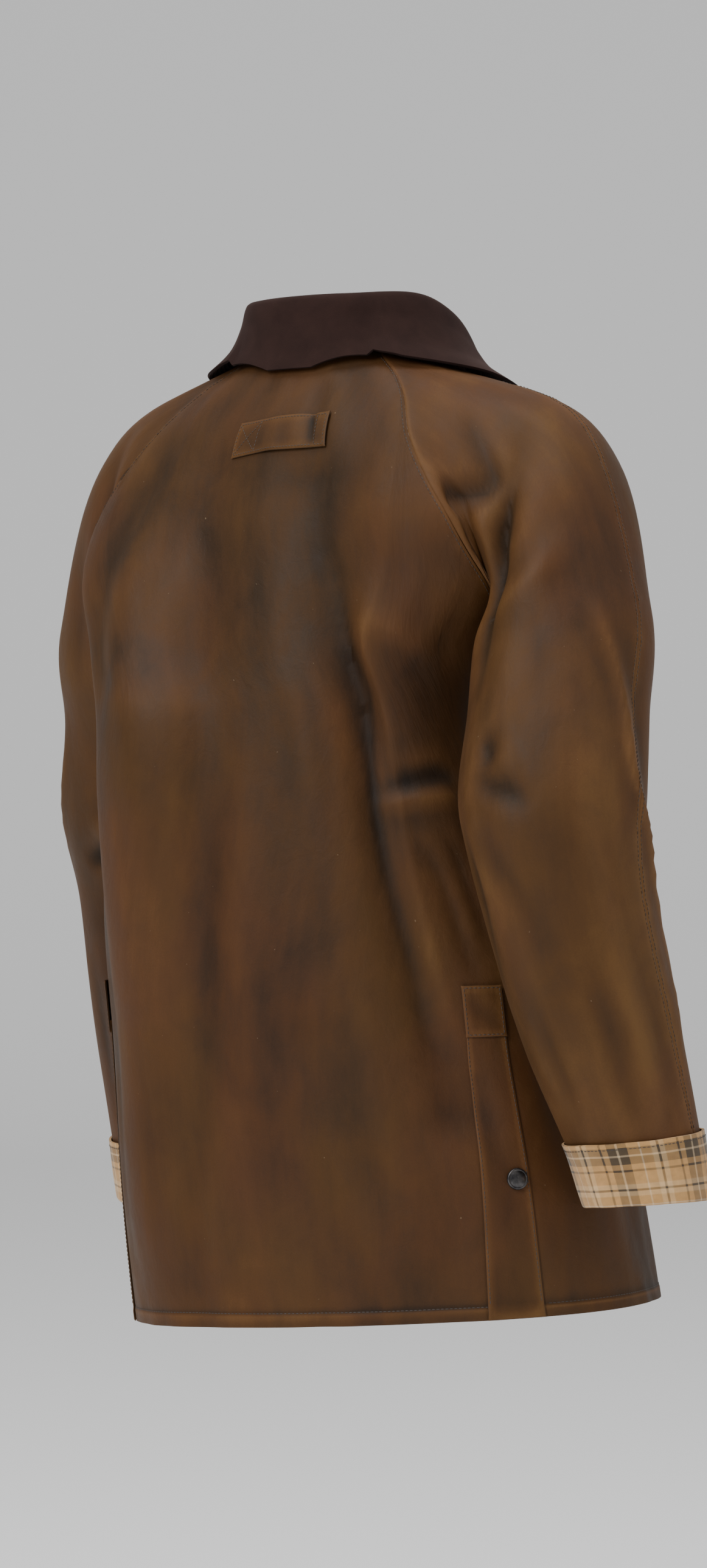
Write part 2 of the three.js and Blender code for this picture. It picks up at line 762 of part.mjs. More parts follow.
function ventStrip(sign) {
  const where = (v, u) => {
    const height = mix(HEM, STRIP.top, v);
    const outer = sideAngle(height) - STRIP.edge;
    const span = mix(STRIP.hemSpan, STRIP.topSpan, v);
    return { angle: sign * (outer - span * (1 - u)), height };
  };
  return patch(16, 5, where, LAY_GAP, 1.2);
}

function ventTab(sign) {
  const where = (v, u) => {
    const height = mix(TAB.bottom, TAB.top, v);
    return { angle: sign * (sideAngle(height) - STRIP.edge - TAB.span * (1 - u)), height };
  };
  return patch(4, 5, where, LAY_GAP + 1.6, 1.2);
}

function label() {
  const where = (v, u) => {
    const across = (u - 0.5) * LABEL.width;
    const up = (v - 0.5) * LABEL.height + across * Math.tan(LABEL.tilt * RAD);
    return {
      angle: LABEL.angle + across / LABEL.perDegree,
      height: LABEL.middle + up,
      rise: LABEL.rise * Math.sin(Math.PI * u),
    };
  };
  return patch(3, 11, where, LAY_GAP, 1.2);
}

// A domed stud, seated on the body.
function stud(angle, height, lift) {
  const { radius, height: tall, sides } = STUD;
  const profile = [
    new THREE.Vector2(0, 0),
    new THREE.Vector2(radius, 0),
    new THREE.Vector2(radius, tall * 0.4),
    new THREE.Vector2(radius * 0.86, tall * 0.8),
    new THREE.Vector2(radius * 0.6, tall),
    new THREE.Vector2(0, tall),
  ];
  const geometry = new THREE.LatheGeometry(profile, sides);
  const onBody = turned(angle, height);
  const out = bodyOut(onBody, height);
  const mesh = new THREE.Mesh(geometry, METAL_LOOK);
  mesh.quaternion.setFromUnitVectors(new THREE.Vector3(0, 1, 0), out);
  mesh.position.copy(body(onBody, height).addScaledVector(out, lift));
  return mesh;
}

// The jacket

const jacket = new THREE.Group();

function add(name, geometry, look) {
  const mesh = new THREE.Mesh(geometry, look);
  mesh.name = name;
  jacket.add(mesh);
}

add('back', backPanel(), CLOTH_LOOK);
add('front_right', frontPanel(1, 0), CLOTH_LOOK);
add('front_left', frontPanel(-1, FLY.rise), CLOTH_LOOK);
add('sleeve_right_back', sleeveHalf(rightSleeve, false), CLOTH_LOOK);
add('sleeve_right_front', sleeveHalf(rightSleeve, true), CLOTH_LOOK);
add('sleeve_left_back', sleeveHalf(leftSleeve, false), CLOTH_LOOK);
add('sleeve_left_front', sleeveHalf(leftSleeve, true), CLOTH_LOOK);
add('cuff_right', cuff(rightSleeve), CHECK_LOOK);
add('cuff_left', cuff(leftSleeve), CHECK_LOOK);
add('collar', collar(), CORD_LOOK);
add('vent_strip_right', ventStrip(1), CLOTH_LOOK);
add('vent_strip_left', ventStrip(-1), CLOTH_LOOK);
add('vent_tab_right', ventTab(1), CLOTH_LOOK);
add('vent_tab_left', ventTab(-1), CLOTH_LOOK);
add('label_loop', label(), CLOTH_LOOK);

function addStud(name, angle, height, lift) {
  const mesh = stud(angle, height, lift);
  mesh.name = name;
  jacket.add(mesh);
}
const stripLift = LAY_GAP + 1.2 + SEAM_GAP;
const ventStudAngle = sideAngle(VENT_STUD.height) - VENT_STUD.in;
addStud('stud_vent_right', ventStudAngle, VENT_STUD.height, stripLift);
addStud('stud_vent_left', -ventStudAngle, VENT_STUD.height, stripLift);
for (let k = 0; k < FRONT_STUDS.count; k += 1) {
  const height = FRONT_STUDS.first + FRONT_STUDS.step * k;
  addStud(`stud_front_${k + 1}`, 180, height, FLY.rise + SEAM_GAP);
}

export default jacket;
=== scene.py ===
"""The looks of a waxed cotton jacket, worn, with nobody in it.

Shapes are worked out in millimetres in the frame's axes: +Z up, the wearer faces -Y.
Angles on the body count from centre back towards the wearer's right.
"""
import math

import bpy
import numpy as np
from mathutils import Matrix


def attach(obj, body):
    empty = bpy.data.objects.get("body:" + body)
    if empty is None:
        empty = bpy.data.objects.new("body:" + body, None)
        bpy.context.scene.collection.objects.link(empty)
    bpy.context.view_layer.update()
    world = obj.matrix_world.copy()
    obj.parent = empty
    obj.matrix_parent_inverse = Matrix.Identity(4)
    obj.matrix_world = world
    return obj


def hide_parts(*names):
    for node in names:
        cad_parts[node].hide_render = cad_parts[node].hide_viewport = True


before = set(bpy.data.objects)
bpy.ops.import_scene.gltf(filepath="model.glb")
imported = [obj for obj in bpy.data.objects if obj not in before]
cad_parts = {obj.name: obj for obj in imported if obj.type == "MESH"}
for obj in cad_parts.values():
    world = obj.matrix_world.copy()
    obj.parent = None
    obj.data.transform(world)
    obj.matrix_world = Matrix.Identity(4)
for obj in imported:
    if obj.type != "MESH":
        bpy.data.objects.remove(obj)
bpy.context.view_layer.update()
MM = 0.001

# Cloth and gaps
CLOTH = 1.3
SEAM_GAP = 0.08
LAY_GAP = 0.7

# Body sections, from the hem up, as in the solids.
SECTION_NAMES = ("height", "x", "y", "left", "right", "back", "front", "power", "turn", "roll", "drop", "corner")
BODY_SECTIONS = np.array([
    (-698, -24, -10, 198, 198, 138, 130, 2.4, 10, 0.066, 0, -4),
    (-600, -14, -8, 194, 190, 141, 130, 2.5, 11, 0.04, 0, 3),
    (-500, -3, -4, 189, 180, 143, 128, 2.6, 12, 0.02, 0, 0),
    (-400, 6, 2, 183, 166, 144, 126, 2.7, 13, 0, 0, 4),
    (-315, 10, 4, 166, 148, 143, 122, 2.8, 12, 0, 0, 18),
    (-250, 9, 6, 152, 138, 137, 114, 2.8, 8, 0, 0, 30),
    (-205, 6, 6, 158, 152, 130, 114, 2.8, -2, 0, 0, 33),
    (-155, 3, 4, 186, 182, 124, 112, 2.8, -4, 0, 4, 25),
    (-105, 0, 2, 196, 196, 119, 106, 2.8, -8, 0, 14, 15),
    (-52, 0, 0, 176, 176, 107, 97, 2.7, -8, 0, 36, 4),
    (-14, 0, 0, 137, 137, 89, 84, 2.5, -8, 0, 50, 0),
    (13, 0, 0, 84, 84, 73, 74, 2.2, -8, 0, 56, 0),
])
HEM = BODY_SECTIONS[0, 0]
NECK = BODY_SECTIONS[-1, 0]
ANGLE_MM = 2.9

# The raglan seam (angle, height) from the back of the neck, under the arm, to the front of the neck.
RAGLAN_SEAM = np.array([
    (40, 13), (40.5, -20), (41.5, -58), (47.5, -104), (59, -160),
    (85, -208), (114, -168), (131, -112), (139, -55), (142, 13),
])
# The side seam (height, angle).
SIDE_SEAM = np.array([
    (-698, 63.5), (-560, 64), (-470, 63.2), (-400, 59.5), (-330, 54.7), (-260, 52.3), (-230, 52), (13, 52),
])
# The wearer's stride turns the panels round the body from the waist down, by this much at full,
# and the arms' swing draws the shoulder blades' cloth round, by angle at each height.
TWIST = {"turn": -18, "from": -215, "full": -520}
SWING = np.array([(-240, 0), (-190, -1.5), (-130, -5), (-58, -5), (-20, -2.5), (13, 0)])
UNDERARM_STEP = 5
LAST_STEP = len(RAGLAN_SEAM) - 1

# Sleeve sections: centre, lean out, swing back, half sizes.
ARM_NAMES = ("x", "y", "z", "lean", "swing", "out", "back")
RIGHT_ARM = np.array([
    (-177, 34, -120, 74, 6, 80, 73),
    (-199, 60, -198, 24, 18, 64, 66),
    (-207, 84, -258, 10, 18, 64, 66),
    (-214, 104, -318, 7, 6, 67, 68),
    (-224, 102, -390, 6, -6, 60, 62),
    (-240, 78, -484, 6, -8, 55, 56),
    (-254, 54, -562, 5, -2, 47, 48),
    (-260, 44, -603, 5, 2, 44, 46),
], float)
LEFT_ARM = np.array([
    (187, -12, -116, 80, -5, 82, 73),
    (219, -38, -196, 20, -14, 62, 66),
    (228, -62, -258, 10, -16, 64, 66),
    (238, -82, -326, 6, -16, 67, 68),
    (244, -98, -390, 3, -14, 60, 62),
    (249, -114, -490, 1, -10, 55, 56),
    (248, -124, -584, 0, -6, 47, 48),
    (248, -132, -636, 0, -4, 44, 46),
], float)

# The solids' own large folds: angles, heights, width, depth.
LARGE_FOLDS = (
    ((-17, -22, -33), (-80, -330, -660), 24, 8),
    ((13, 26, 31), (-90, -240, -540), 20, 8),
    ((-33, -38, -44), (-60, -130, -220), 14, 4),
    ((150, 152, 148), (-120, -360, -600), 26, 6),
    ((-148, -156, -150), (-140, -400, -620), 26, 6),
)

# Finer folds of the body. Each path is (angle, height, depth in); a minus depth is a ridge.
# wide is the reach on either side of the path, and sharp is 0 for a soft fold and 1 for a crease.
BODY_FOLDS = (
    {"path": ((-16, -70, 0), (-18, -180, 2.5), (-21, -280, 3), (-24, -440, 3), (-28, -560, 2), (-34, -690, 0)),
     "wide": (9, 12), "sharp": 0.2},
    {"path": ((-8, -90, 0), (-9, -220, -2), (-12, -380, -2.5), (-17, -540, -1.5), (-22, -660, 0)),
     "wide": (12, 12), "sharp": 0.1},
    {"path": ((13, -70, 0), (14, -125, 2), (20, -170, 4), (26, -205, 5), (26, -245, 5), (25, -284, 5),
              (24, -338, 4.5), (25, -390, 4), (27, -440, 3.5), (28, -482, 2.5), (32, -520, 0)),
     "wide": (15, 5), "sharp": 0.5},
    {"path": ((20, -120, 0), (31, -200, -3), (32, -260, -4), (31, -300, -3), (31, -380, -3.5), (34, -470, -2.5),
              (38, -520, 0)), "wide": (6, 13), "sharp": 0.3},
    {"path": ((-32, -60, 0), (-34, -90, 3), (-40, -150, 3.5), (-47, -225, 2), (-50, -270, 0)),
     "wide": (9, 11), "sharp": 0.2},
    {"path": ((-23, -80, 0), (-24, -105, 2.5), (-26, -145, 2), (-27, -190, 0)), "wide": (7, 9), "sharp": 0.2},
    {"path": ((22, -322, 0), (29, -319, -2.2), (36, -315, -3.2), (43, -313, -3), (48, -318, 0)),
     "wide": (9, 4), "sharp": 0.4},
    {"path": ((28, -306, 0), (36, -302, 2.6), (43, -300, 3.4), (49, -304, 0)), "wide": (8, 6), "sharp": 0.3},
    {"path": ((34, -345, 0), (37, -372, 2.5), (39, -410, 3), (41, -452, 0)), "wide": (6, 8), "sharp": 0.3},
    {"path": ((41, -338, 0), (43, -372, 2.5), (45, -405, 2.5), (45, -440, 0)), "wide": (5, 6), "sharp": 0.3},
    {"path": ((26, -182, 0), (34, -190, -2), (44, -203, -2.5), (50, -212, 0)), "wide": (9, 11), "sharp": 0.2},
    {"path": ((4, -470, 0), (7, -530, 2), (12, -587, 3), (17, -650, 0)), "wide": (13, 15), "sharp": 0.1},
    {"path": ((22, -540, 0), (25, -585, 2), (27, -635, 1.6), (27, -690, 0)), "wide": (10, 12), "sharp": 0.1},
    {"path": ((-10, -470, 0), (-13, -560, 2.4), (-12, -650, 0)), "wide": (15, 15), "sharp": 0.1},
    {"path": ((15, -6, 0), (12, -24, 2.2), (11, -42, 2.2), (13, -70, 0)), "wide": (6, 7), "sharp": 0.3},
    {"path": ((-6, -4, 0), (-8, -22, 1.6), (-10, -44, 0)), "wide": (6, 6), "sharp": 0.3},
    {"path": ((-20, -2, 0), (-21, -26, 1.6), (-19, -50, 0)), "wide": (6, 7), "sharp": 0.2},
    {"path": ((30, -20, 0), (27, -50, 1.8), (22, -90, 1.6), (18, -130, 0)), "wide": (9, 10), "sharp": 0.1},
    {"path": ((62, -215, 0), (60, -300, 4), (58, -420, 3.5), (57, -560, 2), (57, -680, 0)),
     "wide": (12, 14), "sharp": 0.2},
    {"path": ((88, -222, 0), (80, -262, 4), (70, -318, 2), (64, -370, 0)), "wide": (8, 10), "sharp": 0.4},
    {"path": ((96, -222, 0), (104, -275, 3.5), (112, -350, 2), (116, -430, 0)), "wide": (9, 11), "sharp": 0.3},
    {"path": ((84, -300, 0), (82, -420, 4), (84, -560, 3), (82, -690, 0)), "wide": (16, 14), "sharp": 0.1},
    {"path": ((128, -120, 0), (126, -240, 3), (130, -400, 4), (128, -560, 3), (130, -690, 0)),
     "wide": (14, 18), "sharp": 0.1},
    {"path": ((146, -60, 0), (150, -120, 2), (154, -200, 0)), "wide": (9, 9), "sharp": 0.2},
    {"path": ((-64, -220, 0), (-62, -320, 3.5), (-60, -450, 3), (-59, -600, 1.5), (-60, -690, 0)),
     "wide": (14, 12), "sharp": 0.2},
    {"path": ((-90, -222, 0), (-82, -270, 4), (-73, -330, 2), (-68, -390, 0)), "wide": (9, 10), "sharp": 0.4},
    {"path": ((-98, -224, 0), (-108, -285, 3), (-118, -370, 2), (-121, -450, 0)), "wide": (10, 10), "sharp": 0.3},
    {"path": ((-88, -330, 0), (-90, -460, 3.5), (-87, -590, 3), (-89, -690, 0)), "wide": (15, 15), "sharp": 0.1},
    {"path": ((-130, -110, 0), (-127, -250, 3), (-132, -410, 3.5), (-129, -570, 2.5), (-131, -690, 0)),
     "wide": (15, 17), "sharp": 0.1},
    {"path": ((-148, -50, 0), (-151, -110, 2), (-156, -180, 0)), "wide": (9, 9), "sharp": 0.2},
)

# Folds of the sleeves, as (turn, mark, depth): turn 0 is over the arm, 90 the back, 180 under the arm,
# and mark is the way down from the raglan seam.
RIGHT_FOLDS = (
    {"path": ((30, 70, 0), (45, 76, 3), (62, 80, 5), (84, 86, 8), (105, 98, 9), (116, 144, 7), (120, 190, 5),
              (124, 240, 0)), "wide": (9, 15), "sharp": 0.4},
    {"path": ((132, 4, 2), (126, 14, 4), (106, 42, 6), (90, 60, 6), (78, 72, 2)), "wide": (6, 6), "sharp": 0.5},
    {"path": ((62, 40, 0), (68, 52, 4), (76, 66, 5), (80, 74, 0)), "wide": (9, 9), "sharp": 0.3},
    {"path": ((112, 24, 0), (100, 66, -5), (104, 84, -5), (118, 110, -4), (128, 150, -2), (132, 190, 0)),
     "wide": (9, 8), "sharp": 0.2},
    {"path": ((146, 8, 2), (138, 24, 3.5), (128, 38, 0)), "wide": (5, 6), "sharp": 0.4},
    {"path": ((110, 168, 0), (86, 158, -2.5), (63, 146, -3), (42, 132, 0)), "wide": (10, 11), "sharp": 0.1},
    {"path": ((78, 170, 0), (72, 210, 2.5), (76, 250, 0)), "wide": (13, 13), "sharp": 0.1},
    {"path": ((120, 282, 0), (106, 288, 4), (90, 294, 4), (74, 304, 0)), "wide": (7, 9), "sharp": 0.3},
    {"path": ((112, 258, 0), (104, 268, 3.5), (98, 278, 0)), "wide": (6, 7), "sharp": 0.4},
    {"path": ((124, 310, 0), (108, 330, 3), (92, 360, 2.5), (84, 400, 0)), "wide": (9, 11), "sharp": 0.2},
    {"path": ((40, 170, 0), (30, 195, -2.5), (14, 236, -3), (3, 288, -3), (-17, 334, -3), (-27, 400, -2.5),
              (-24, 445, -1.5), (-10, 480, 0)), "wide": (5, 7), "sharp": 0.6},
    {"path": ((14, 180, 0), (-4, 240, 3), (-18, 292, 3), (-36, 345, 3), (-44, 410, 2), (-40, 470, 0)),
     "wide": (9, 12), "sharp": 0.2},
    {"path": ((60, 8, 0), (50, 30, -1), (38, 66, 0)), "wide": (3, 4), "sharp": 0.5},
    {"path": ((74, 6, 0), (60, 34, -0.9), (46, 64, 0)), "wide": (3, 4), "sharp": 0.5},
    {"path": ((36, 6, 0), (26, 30, -0.9), (18, 70, 0)), "wide": (3, 4), "sharp": 0.5},
    {"path": ((62, 400, 0), (54, 460, 2.5), (58, 530, 0)), "wide": (12, 12), "sharp": 0.1},
    {"path": ((20, 380, 0), (16, 460, 2.5), (22, 540, 0)), "wide": (11, 13), "sharp": 0.1},
    {"path": ((96, 410, 0), (104, 470, 2.5), (98, 535, 0)), "wide": (10, 12), "sharp": 0.1},
    {"path": ((150, 300, 0), (140, 350, 3), (146, 430, 0)), "wide": (10, 10), "sharp": 0.2},
    {"path": ((-60, 60, 0), (-84, 86, 5), (-104, 110, 6), (-118, 160, 3), (-120, 220, 0)),
     "wide": (10, 12), "sharp": 0.3},
    {"path": ((-140, 16, 2), (-112, 46, 5), (-88, 66, 0)), "wide": (7, 8), "sharp": 0.4},
    {"path": ((-60, 250, 0), (-84, 280, 5), (-120, 290, 5), (-150, 280, 0)), "wide": (7, 9), "sharp": 0.4},
    {"path": ((-56, 290, 0), (-88, 312, 4.5), (-124, 318, 4), (-150, 306, 0)), "wide": (7, 8), "sharp": 0.4},
    {"path": ((-70, 340, 0), (-96, 352, 3), (-126, 350, 0)), "wide": (8, 8), "sharp": 0.3},
    {"path": ((-90, 400, 0), (-84, 470, 2.5), (-92, 540, 0)), "wide": (12, 12), "sharp": 0.1},
)
LEFT_FOLDS = (
    {"path": ((34, 66, 0), (60, 74, 4), (88, 84, 6), (108, 110, 6), (116, 160, 4), (118, 210, 0)),
     "wide": (9, 13), "sharp": 0.3},
    {"path": ((136, 10, 2), (118, 34, 5), (96, 58, 4), (84, 70, 0)), "wide": (6, 7), "sharp": 0.4},
    {"path": ((60, 110, 0), (72, 150, 3), (70, 200, 0)), "wide": (12, 12), "sharp": 0.1},
    {"path": ((116, 320, 0), (98, 330, 5), (84, 334, 6), (68, 340, 0)), "wide": (6, 7), "sharp": 0.5},
    {"path": ((110, 300, 0), (94, 306, -3), (78, 318, 0)), "wide": (7, 7), "sharp": 0.3},
    {"path": ((104, 350, 0), (92, 372, 3.5), (84, 404, 0)), "wide": (7, 9), "sharp": 0.3},
    {"path": ((50, 220, 0), (40, 280, -2.5), (28, 340, -2.5), (20, 420, 0)), "wide": (6, 9), "sharp": 0.4},
    {"path": ((140, 240, 0), (126, 280, 3.5), (112, 300, 0)), "wide": (8, 9), "sharp": 0.3},
    {"path": ((64, 410, 0), (58, 480, 2.5), (62, 560, 0)), "wide": (12, 13), "sharp": 0.1},
    {"path": ((104, 430, 0), (110, 500, 2.5), (104, 570, 0)), "wide": (11, 12), "sharp": 0.1},
    {"path": ((16, 430, 0), (10, 500, 2.4), (14, 570, 0)), "wide": (12, 12), "sharp": 0.1},
    {"path": ((-50, 60, 0), (-78, 84, 5), (-100, 106, 6), (-116, 150, 3), (-118, 200, 0)),
     "wide": (10, 12), "sharp": 0.3},
    {"path": ((-138, 14, 2), (-116, 42, 5), (-94, 60, 0)), "wide": (7, 7), "sharp": 0.4},
    {"path": ((-56, 260, 0), (-84, 288, 5), (-118, 300, 5), (-148, 290, 0)), "wide": (7, 9), "sharp": 0.4},
    {"path": ((-60, 302, 0), (-90, 322, 4), (-126, 330, 4), (-150, 318, 0)), "wide": (7, 8), "sharp": 0.4},
    {"path": ((-72, 350, 0), (-98, 362, 3), (-128, 360, 0)), "wide": (8, 8), "sharp": 0.3},
    {"path": ((-88, 410, 0), (-82, 480, 2.5), (-90, 560, 0)), "wide": (12, 12), "sharp": 0.1},
)
TURN_MM = 1.08


# Curves through table rows

def along(keys, values, key):
    """A smooth value at key between the values of neighbouring rows."""
    keys = np.asarray(keys, float)
    values = np.asarray(values, float)
    slopes = np.empty_like(values)
    slopes[1:-1] = (values[2:] - values[:-2]) / (keys[2:] - keys[:-2])
    slopes[0] = (values[1] - values[0]) / (keys[1] - keys[0])
    slopes[-1] = (values[-1] - values[-2]) / (keys[-1] - keys[-2])
    inside = np.clip(key, keys[0], keys[-1])
    i = np.clip(np.searchsorted(keys, inside) - 1, 0, len(keys) - 2)
    span = keys[i + 1] - keys[i]
    t = (inside - keys[i]) / span
    rise = t * t * (3 - 2 * t)
    start = slopes[i] * span * t * (1 - t) ** 2
    end = slopes[i + 1] * span * t * t * (1 - t)
    return values[i] * (1 - rise) + values[i + 1] * rise + start - end


def smooth_step(low, high, value):
    t = np.clip((np.asarray(value, float) - low) / (high - low), 0, 1)
    return t * t * (3 - 2 * t)


def mix(a, b, t):
    return a + (b - a) * t


def unit(vectors):
    return vectors / np.maximum(np.linalg.norm(vectors, axis=-1, keepdims=True), 1e-9)


def dot(a, b):
    return np.sum(a * b, axis=-1, keepdims=True)


# Folds and ripples, on a surface unrolled to millimetres

def curve_points(rows, steps=7):
    """A smooth line through rows of values."""
    rows = np.asarray(rows, float)
    keys = np.arange(len(rows))
    at = np.linspace(0, len(rows) - 1, (len(rows) - 1) * steps + 1)
    return np.stack([along(keys, rows[:, k], at) for k in range(rows.shape[1])], axis=-1)


def nearest_on_path(u, v, path):
    """Each place's distance from a path, its side of it, and its share along the path's points."""
    best = np.full(np.shape(u), np.inf)
    side = np.zeros(np.shape(u))
    share = np.zeros(np.shape(u))
    for k in range(len(path) - 1):
        au, av = path[k, 0], path[k, 1]
        du, dv = path[k + 1, 0] - au, path[k + 1, 1] - av
        t = np.clip(((u - au) * du + (v - av) * dv) / max(du * du + dv * dv, 1e-9), 0, 1)
        far = np.hypot(u - au - t * du, v - av - t * dv)
        closer = far < best
        best = np.where(closer, far, best)
        side = np.where(closer, np.sign((u - au) * dv - (v - av) * du), side)
        share = np.where(closer, k + t, share)
    return best, side, share


def fold_field(u, v, folds, scale):
    """How far in the folds press the cloth. u is in degrees, scale in millimetres for each degree."""
    total = np.zeros(np.broadcast(u, v).shape)
    u, v = np.broadcast_arrays(u * scale, v)
    for fold in folds:
        path = curve_points(fold["path"])
        path[:, 0] *= scale
        far, side, share = nearest_on_path(u, v, path)
        depth = np.interp(share, np.arange(len(path)), path[:, 2])
        reach = far / np.where(side > 0, fold["wide"][0], fold["wide"][1])
        soft = np.exp(-0.5 * reach ** 2)
        crease = np.exp(-1.5 * reach)
        total += depth * mix(soft, crease, fold["sharp"])
    return total


def ripples(u, v, seed, waves=((150, 0.9), (70, 0.45), (34, 0.2))):
    """Slow, uneven waves of the cloth: each wave is (length, height), longer down than across."""
    draw = np.random.default_rng(seed)
    total = 0
    for length, height in waves:
        for _ in range(4):
            turn = draw.uniform(-0.5, 0.5)
            size = 2 * math.pi / (length * draw.uniform(0.75, 1.3))
            phase = draw.uniform(0, 2 * math.pi)
            total = total + height / 2 * np.sin(size * (u * math.cos(turn) + 0.45 * v * math.sin(turn)) + phase)
    return total


# Body surface

SECTION_VALUES = {name: BODY_SECTIONS[:, i] for i, name in enumerate(SECTION_NAMES)}


def body_form(angle, height):
    s = {name: along(BODY_SECTIONS[:, 0], values, height) for name, values in SECTION_VALUES.items()}
    sine = np.sin(np.radians(angle))
    cosine = np.cos(np.radians(angle))
    side = np.where(sine > 0, s["right"], s["left"])
    depth = np.where(cosine > 0, s["back"], s["front"])
    power = s["power"]
    radius = (np.abs(sine) ** power + np.abs(cosine) ** power) ** (-1 / power)
    share = cosine * radius
    corner = s["corner"] * smooth_step(-82, -52, angle) * smooth_step(-8, -40, angle)
    px = -(side * radius + corner) * sine
    py = depth * share + corner * cosine
    turn = np.radians(s["turn"])
    x = s["x"] + px * np.cos(turn) - py * np.sin(turn)
    y = s["y"] + px * np.sin(turn) + py * np.cos(turn)
    z = height - s["roll"] * x - s["drop"] * ((1 - share) / 2) ** 2
    return np.stack(np.broadcast_arrays(x, y, z), axis=-1)


def outward(surface, u, v, step_u=0.6, step_v=1.5, low=-np.inf, high=np.inf):
    du = surface(u + step_u, v) - surface(u - step_u, v)
    dv = surface(u, np.minimum(v + step_v, high)) - surface(u, np.maximum(v - step_v, low))
    return unit(np.cross(du, dv))


def wrap(angle):
    return (np.asarray(angle, float) + 180) % 360 - 180


def turned(angle, height):
    """The angle on the body of a place that is at an angle on the flat, untwisted panels."""
    stride = TWIST["turn"] * smooth_step(TWIST["from"], TWIST["full"], height)
    swing = along(SWING[:, 0], SWING[:, 1], height) * smooth_step(85, 58, np.abs(angle))
    return angle + stride + swing


def large_depth(angle, height):
    total = 0
    for angles, heights, width, depth in LARGE_FOLDS:
        level = np.clip(height, heights[2], heights[0])
        middle = along(heights[::-1], angles[::-1], level)
        across = (angle - middle) * ANGLE_MM
        total = total + depth * np.exp(-(across ** 2 + (height - level) ** 2) / (2 * width ** 2))
    calm = smooth_step(NECK + 4, NECK - 50, height) * (0.5 + 0.5 * smooth_step(HEM, HEM + 120, height))
    return total * calm


def body(angle, height):
    """The solids' outer surface."""
    place = body_form(angle, height)
    out = outward(body_form, angle, height, 0.5)
    return place - out * large_depth(wrap(angle), height)[..., None]


SEAM_LINES = []
for way in (1, -1):
    seam_line = curve_points(RAGLAN_SEAM, 6)
    seam_line[:, 0] = turned(way * seam_line[:, 0], seam_line[:, 1]) * ANGLE_MM
    SEAM_LINES.append(seam_line)


def seam_field(angle, height):
    """The distance from the nearer raglan seam, and the way along it, in millimetres."""
    u, v = np.broadcast_arrays(wrap(angle) * ANGLE_MM, height)
    first, _, share = nearest_on_path(u, v, SEAM_LINES[0])
    second, _, share_left = nearest_on_path(u, v, SEAM_LINES[1])
    return np.minimum(first, second), np.where(first < second, share, share_left) * 9


def pucker(far, run, seed):
    """The small waves that a seam draws into the cloth beside it."""
    wave = np.sin(run / 2.1 + seed) + 0.7 * np.sin(run / 3.7 + 2 * seed) + 0.5 * np.sin(run / 1.3 + seed)
    return 0.22 * wave * np.exp(-far / 8) * smooth_step(0, 2.5, far)


HEM_DEPTH = 10


def hem_lift(height):
    """The doubled cloth of the hem, and the dip at its stitches."""
    up = height - HEM
    doubled = 0.55 * (1 - smooth_step(HEM_DEPTH - 0.8, HEM_DEPTH + 2.2, up))
    dip = 0.5 * np.exp(-((up - HEM_DEPTH) / 1.3) ** 2)
    return doubled - dip


def body_cloth(angle, height):
    """The cloth's outer surface, with its finer folds, puckers and hem."""
    place = body(angle, height)
    out = outward(body, angle, height, low=HEM, high=NECK)
    bend = wrap(angle)
    far, run = seam_field(angle, height)
    under_collar = smooth_step(NECK, NECK - 22, height)
    calm = smooth_step(1, 16, far) * under_collar
    low = 0.35 + 0.65 * smooth_step(HEM, HEM + 60, height)
    press = 1.15 * fold_field(bend, height, BODY_FOLDS, ANGLE_MM) * low
    press = press - ripples(bend * ANGLE_MM, height, 5)
    lift = -press * calm - pucker(far, run, 1.0) * under_collar + hem_lift(height)
    lift = lift - 0.7 * np.exp(-far / 1.1) * under_collar
    hem_wave = 0.5 * np.sin(bend * ANGLE_MM / 9 + 1.5 * np.sin(bend / 7)) * np.exp(-(height - HEM) / 14)
    return place + out * (lift + hem_wave)[..., None]


def body_out(angle, height):
    return outward(body_cloth, angle, height, 0.5, 1.2, HEM, NECK)


# Meshes

def grid_normals(points, closed, flip):
    if closed:
        du = np.roll(points, -1, axis=1) - np.roll(points, 1, axis=1)
    else:
        du = np.gradient(points, axis=1)
    return unit(np.cross(du, np.gradient(points, axis=0))) * flip


def bend_of(points, normals, closed, reach=2):
    """How much a grid bends: over 0.5 on a ridge, under 0.5 in a valley."""
    def shifted(axis, step):
        if axis == 1 and closed:
            return np.roll(points, step, axis=1)
        size = points.shape[axis]
        return np.take(points, np.clip(np.arange(size) - step, 0, size - 1), axis=axis)
    total = np.zeros(points.shape[:2])
    for axis in (0, 1):
        before = shifted(axis, reach) - points
        after = shifted(axis, -reach) - points
        size = 0.5 * (np.linalg.norm(before, axis=-1) + np.linalg.norm(after, axis=-1))
        total += -np.sum((before + after) * normals, axis=-1) / np.maximum(size, 0.5) ** 2
    for _ in range(2):
        padded = np.pad(total, 1, mode="edge")
        total = (padded[:-2, 1:-1] + padded[2:, 1:-1] + padded[1:-1, :-2] + padded[1:-1, 2:]) / 4
    return np.clip(0.5 + total * 9, 0, 1)


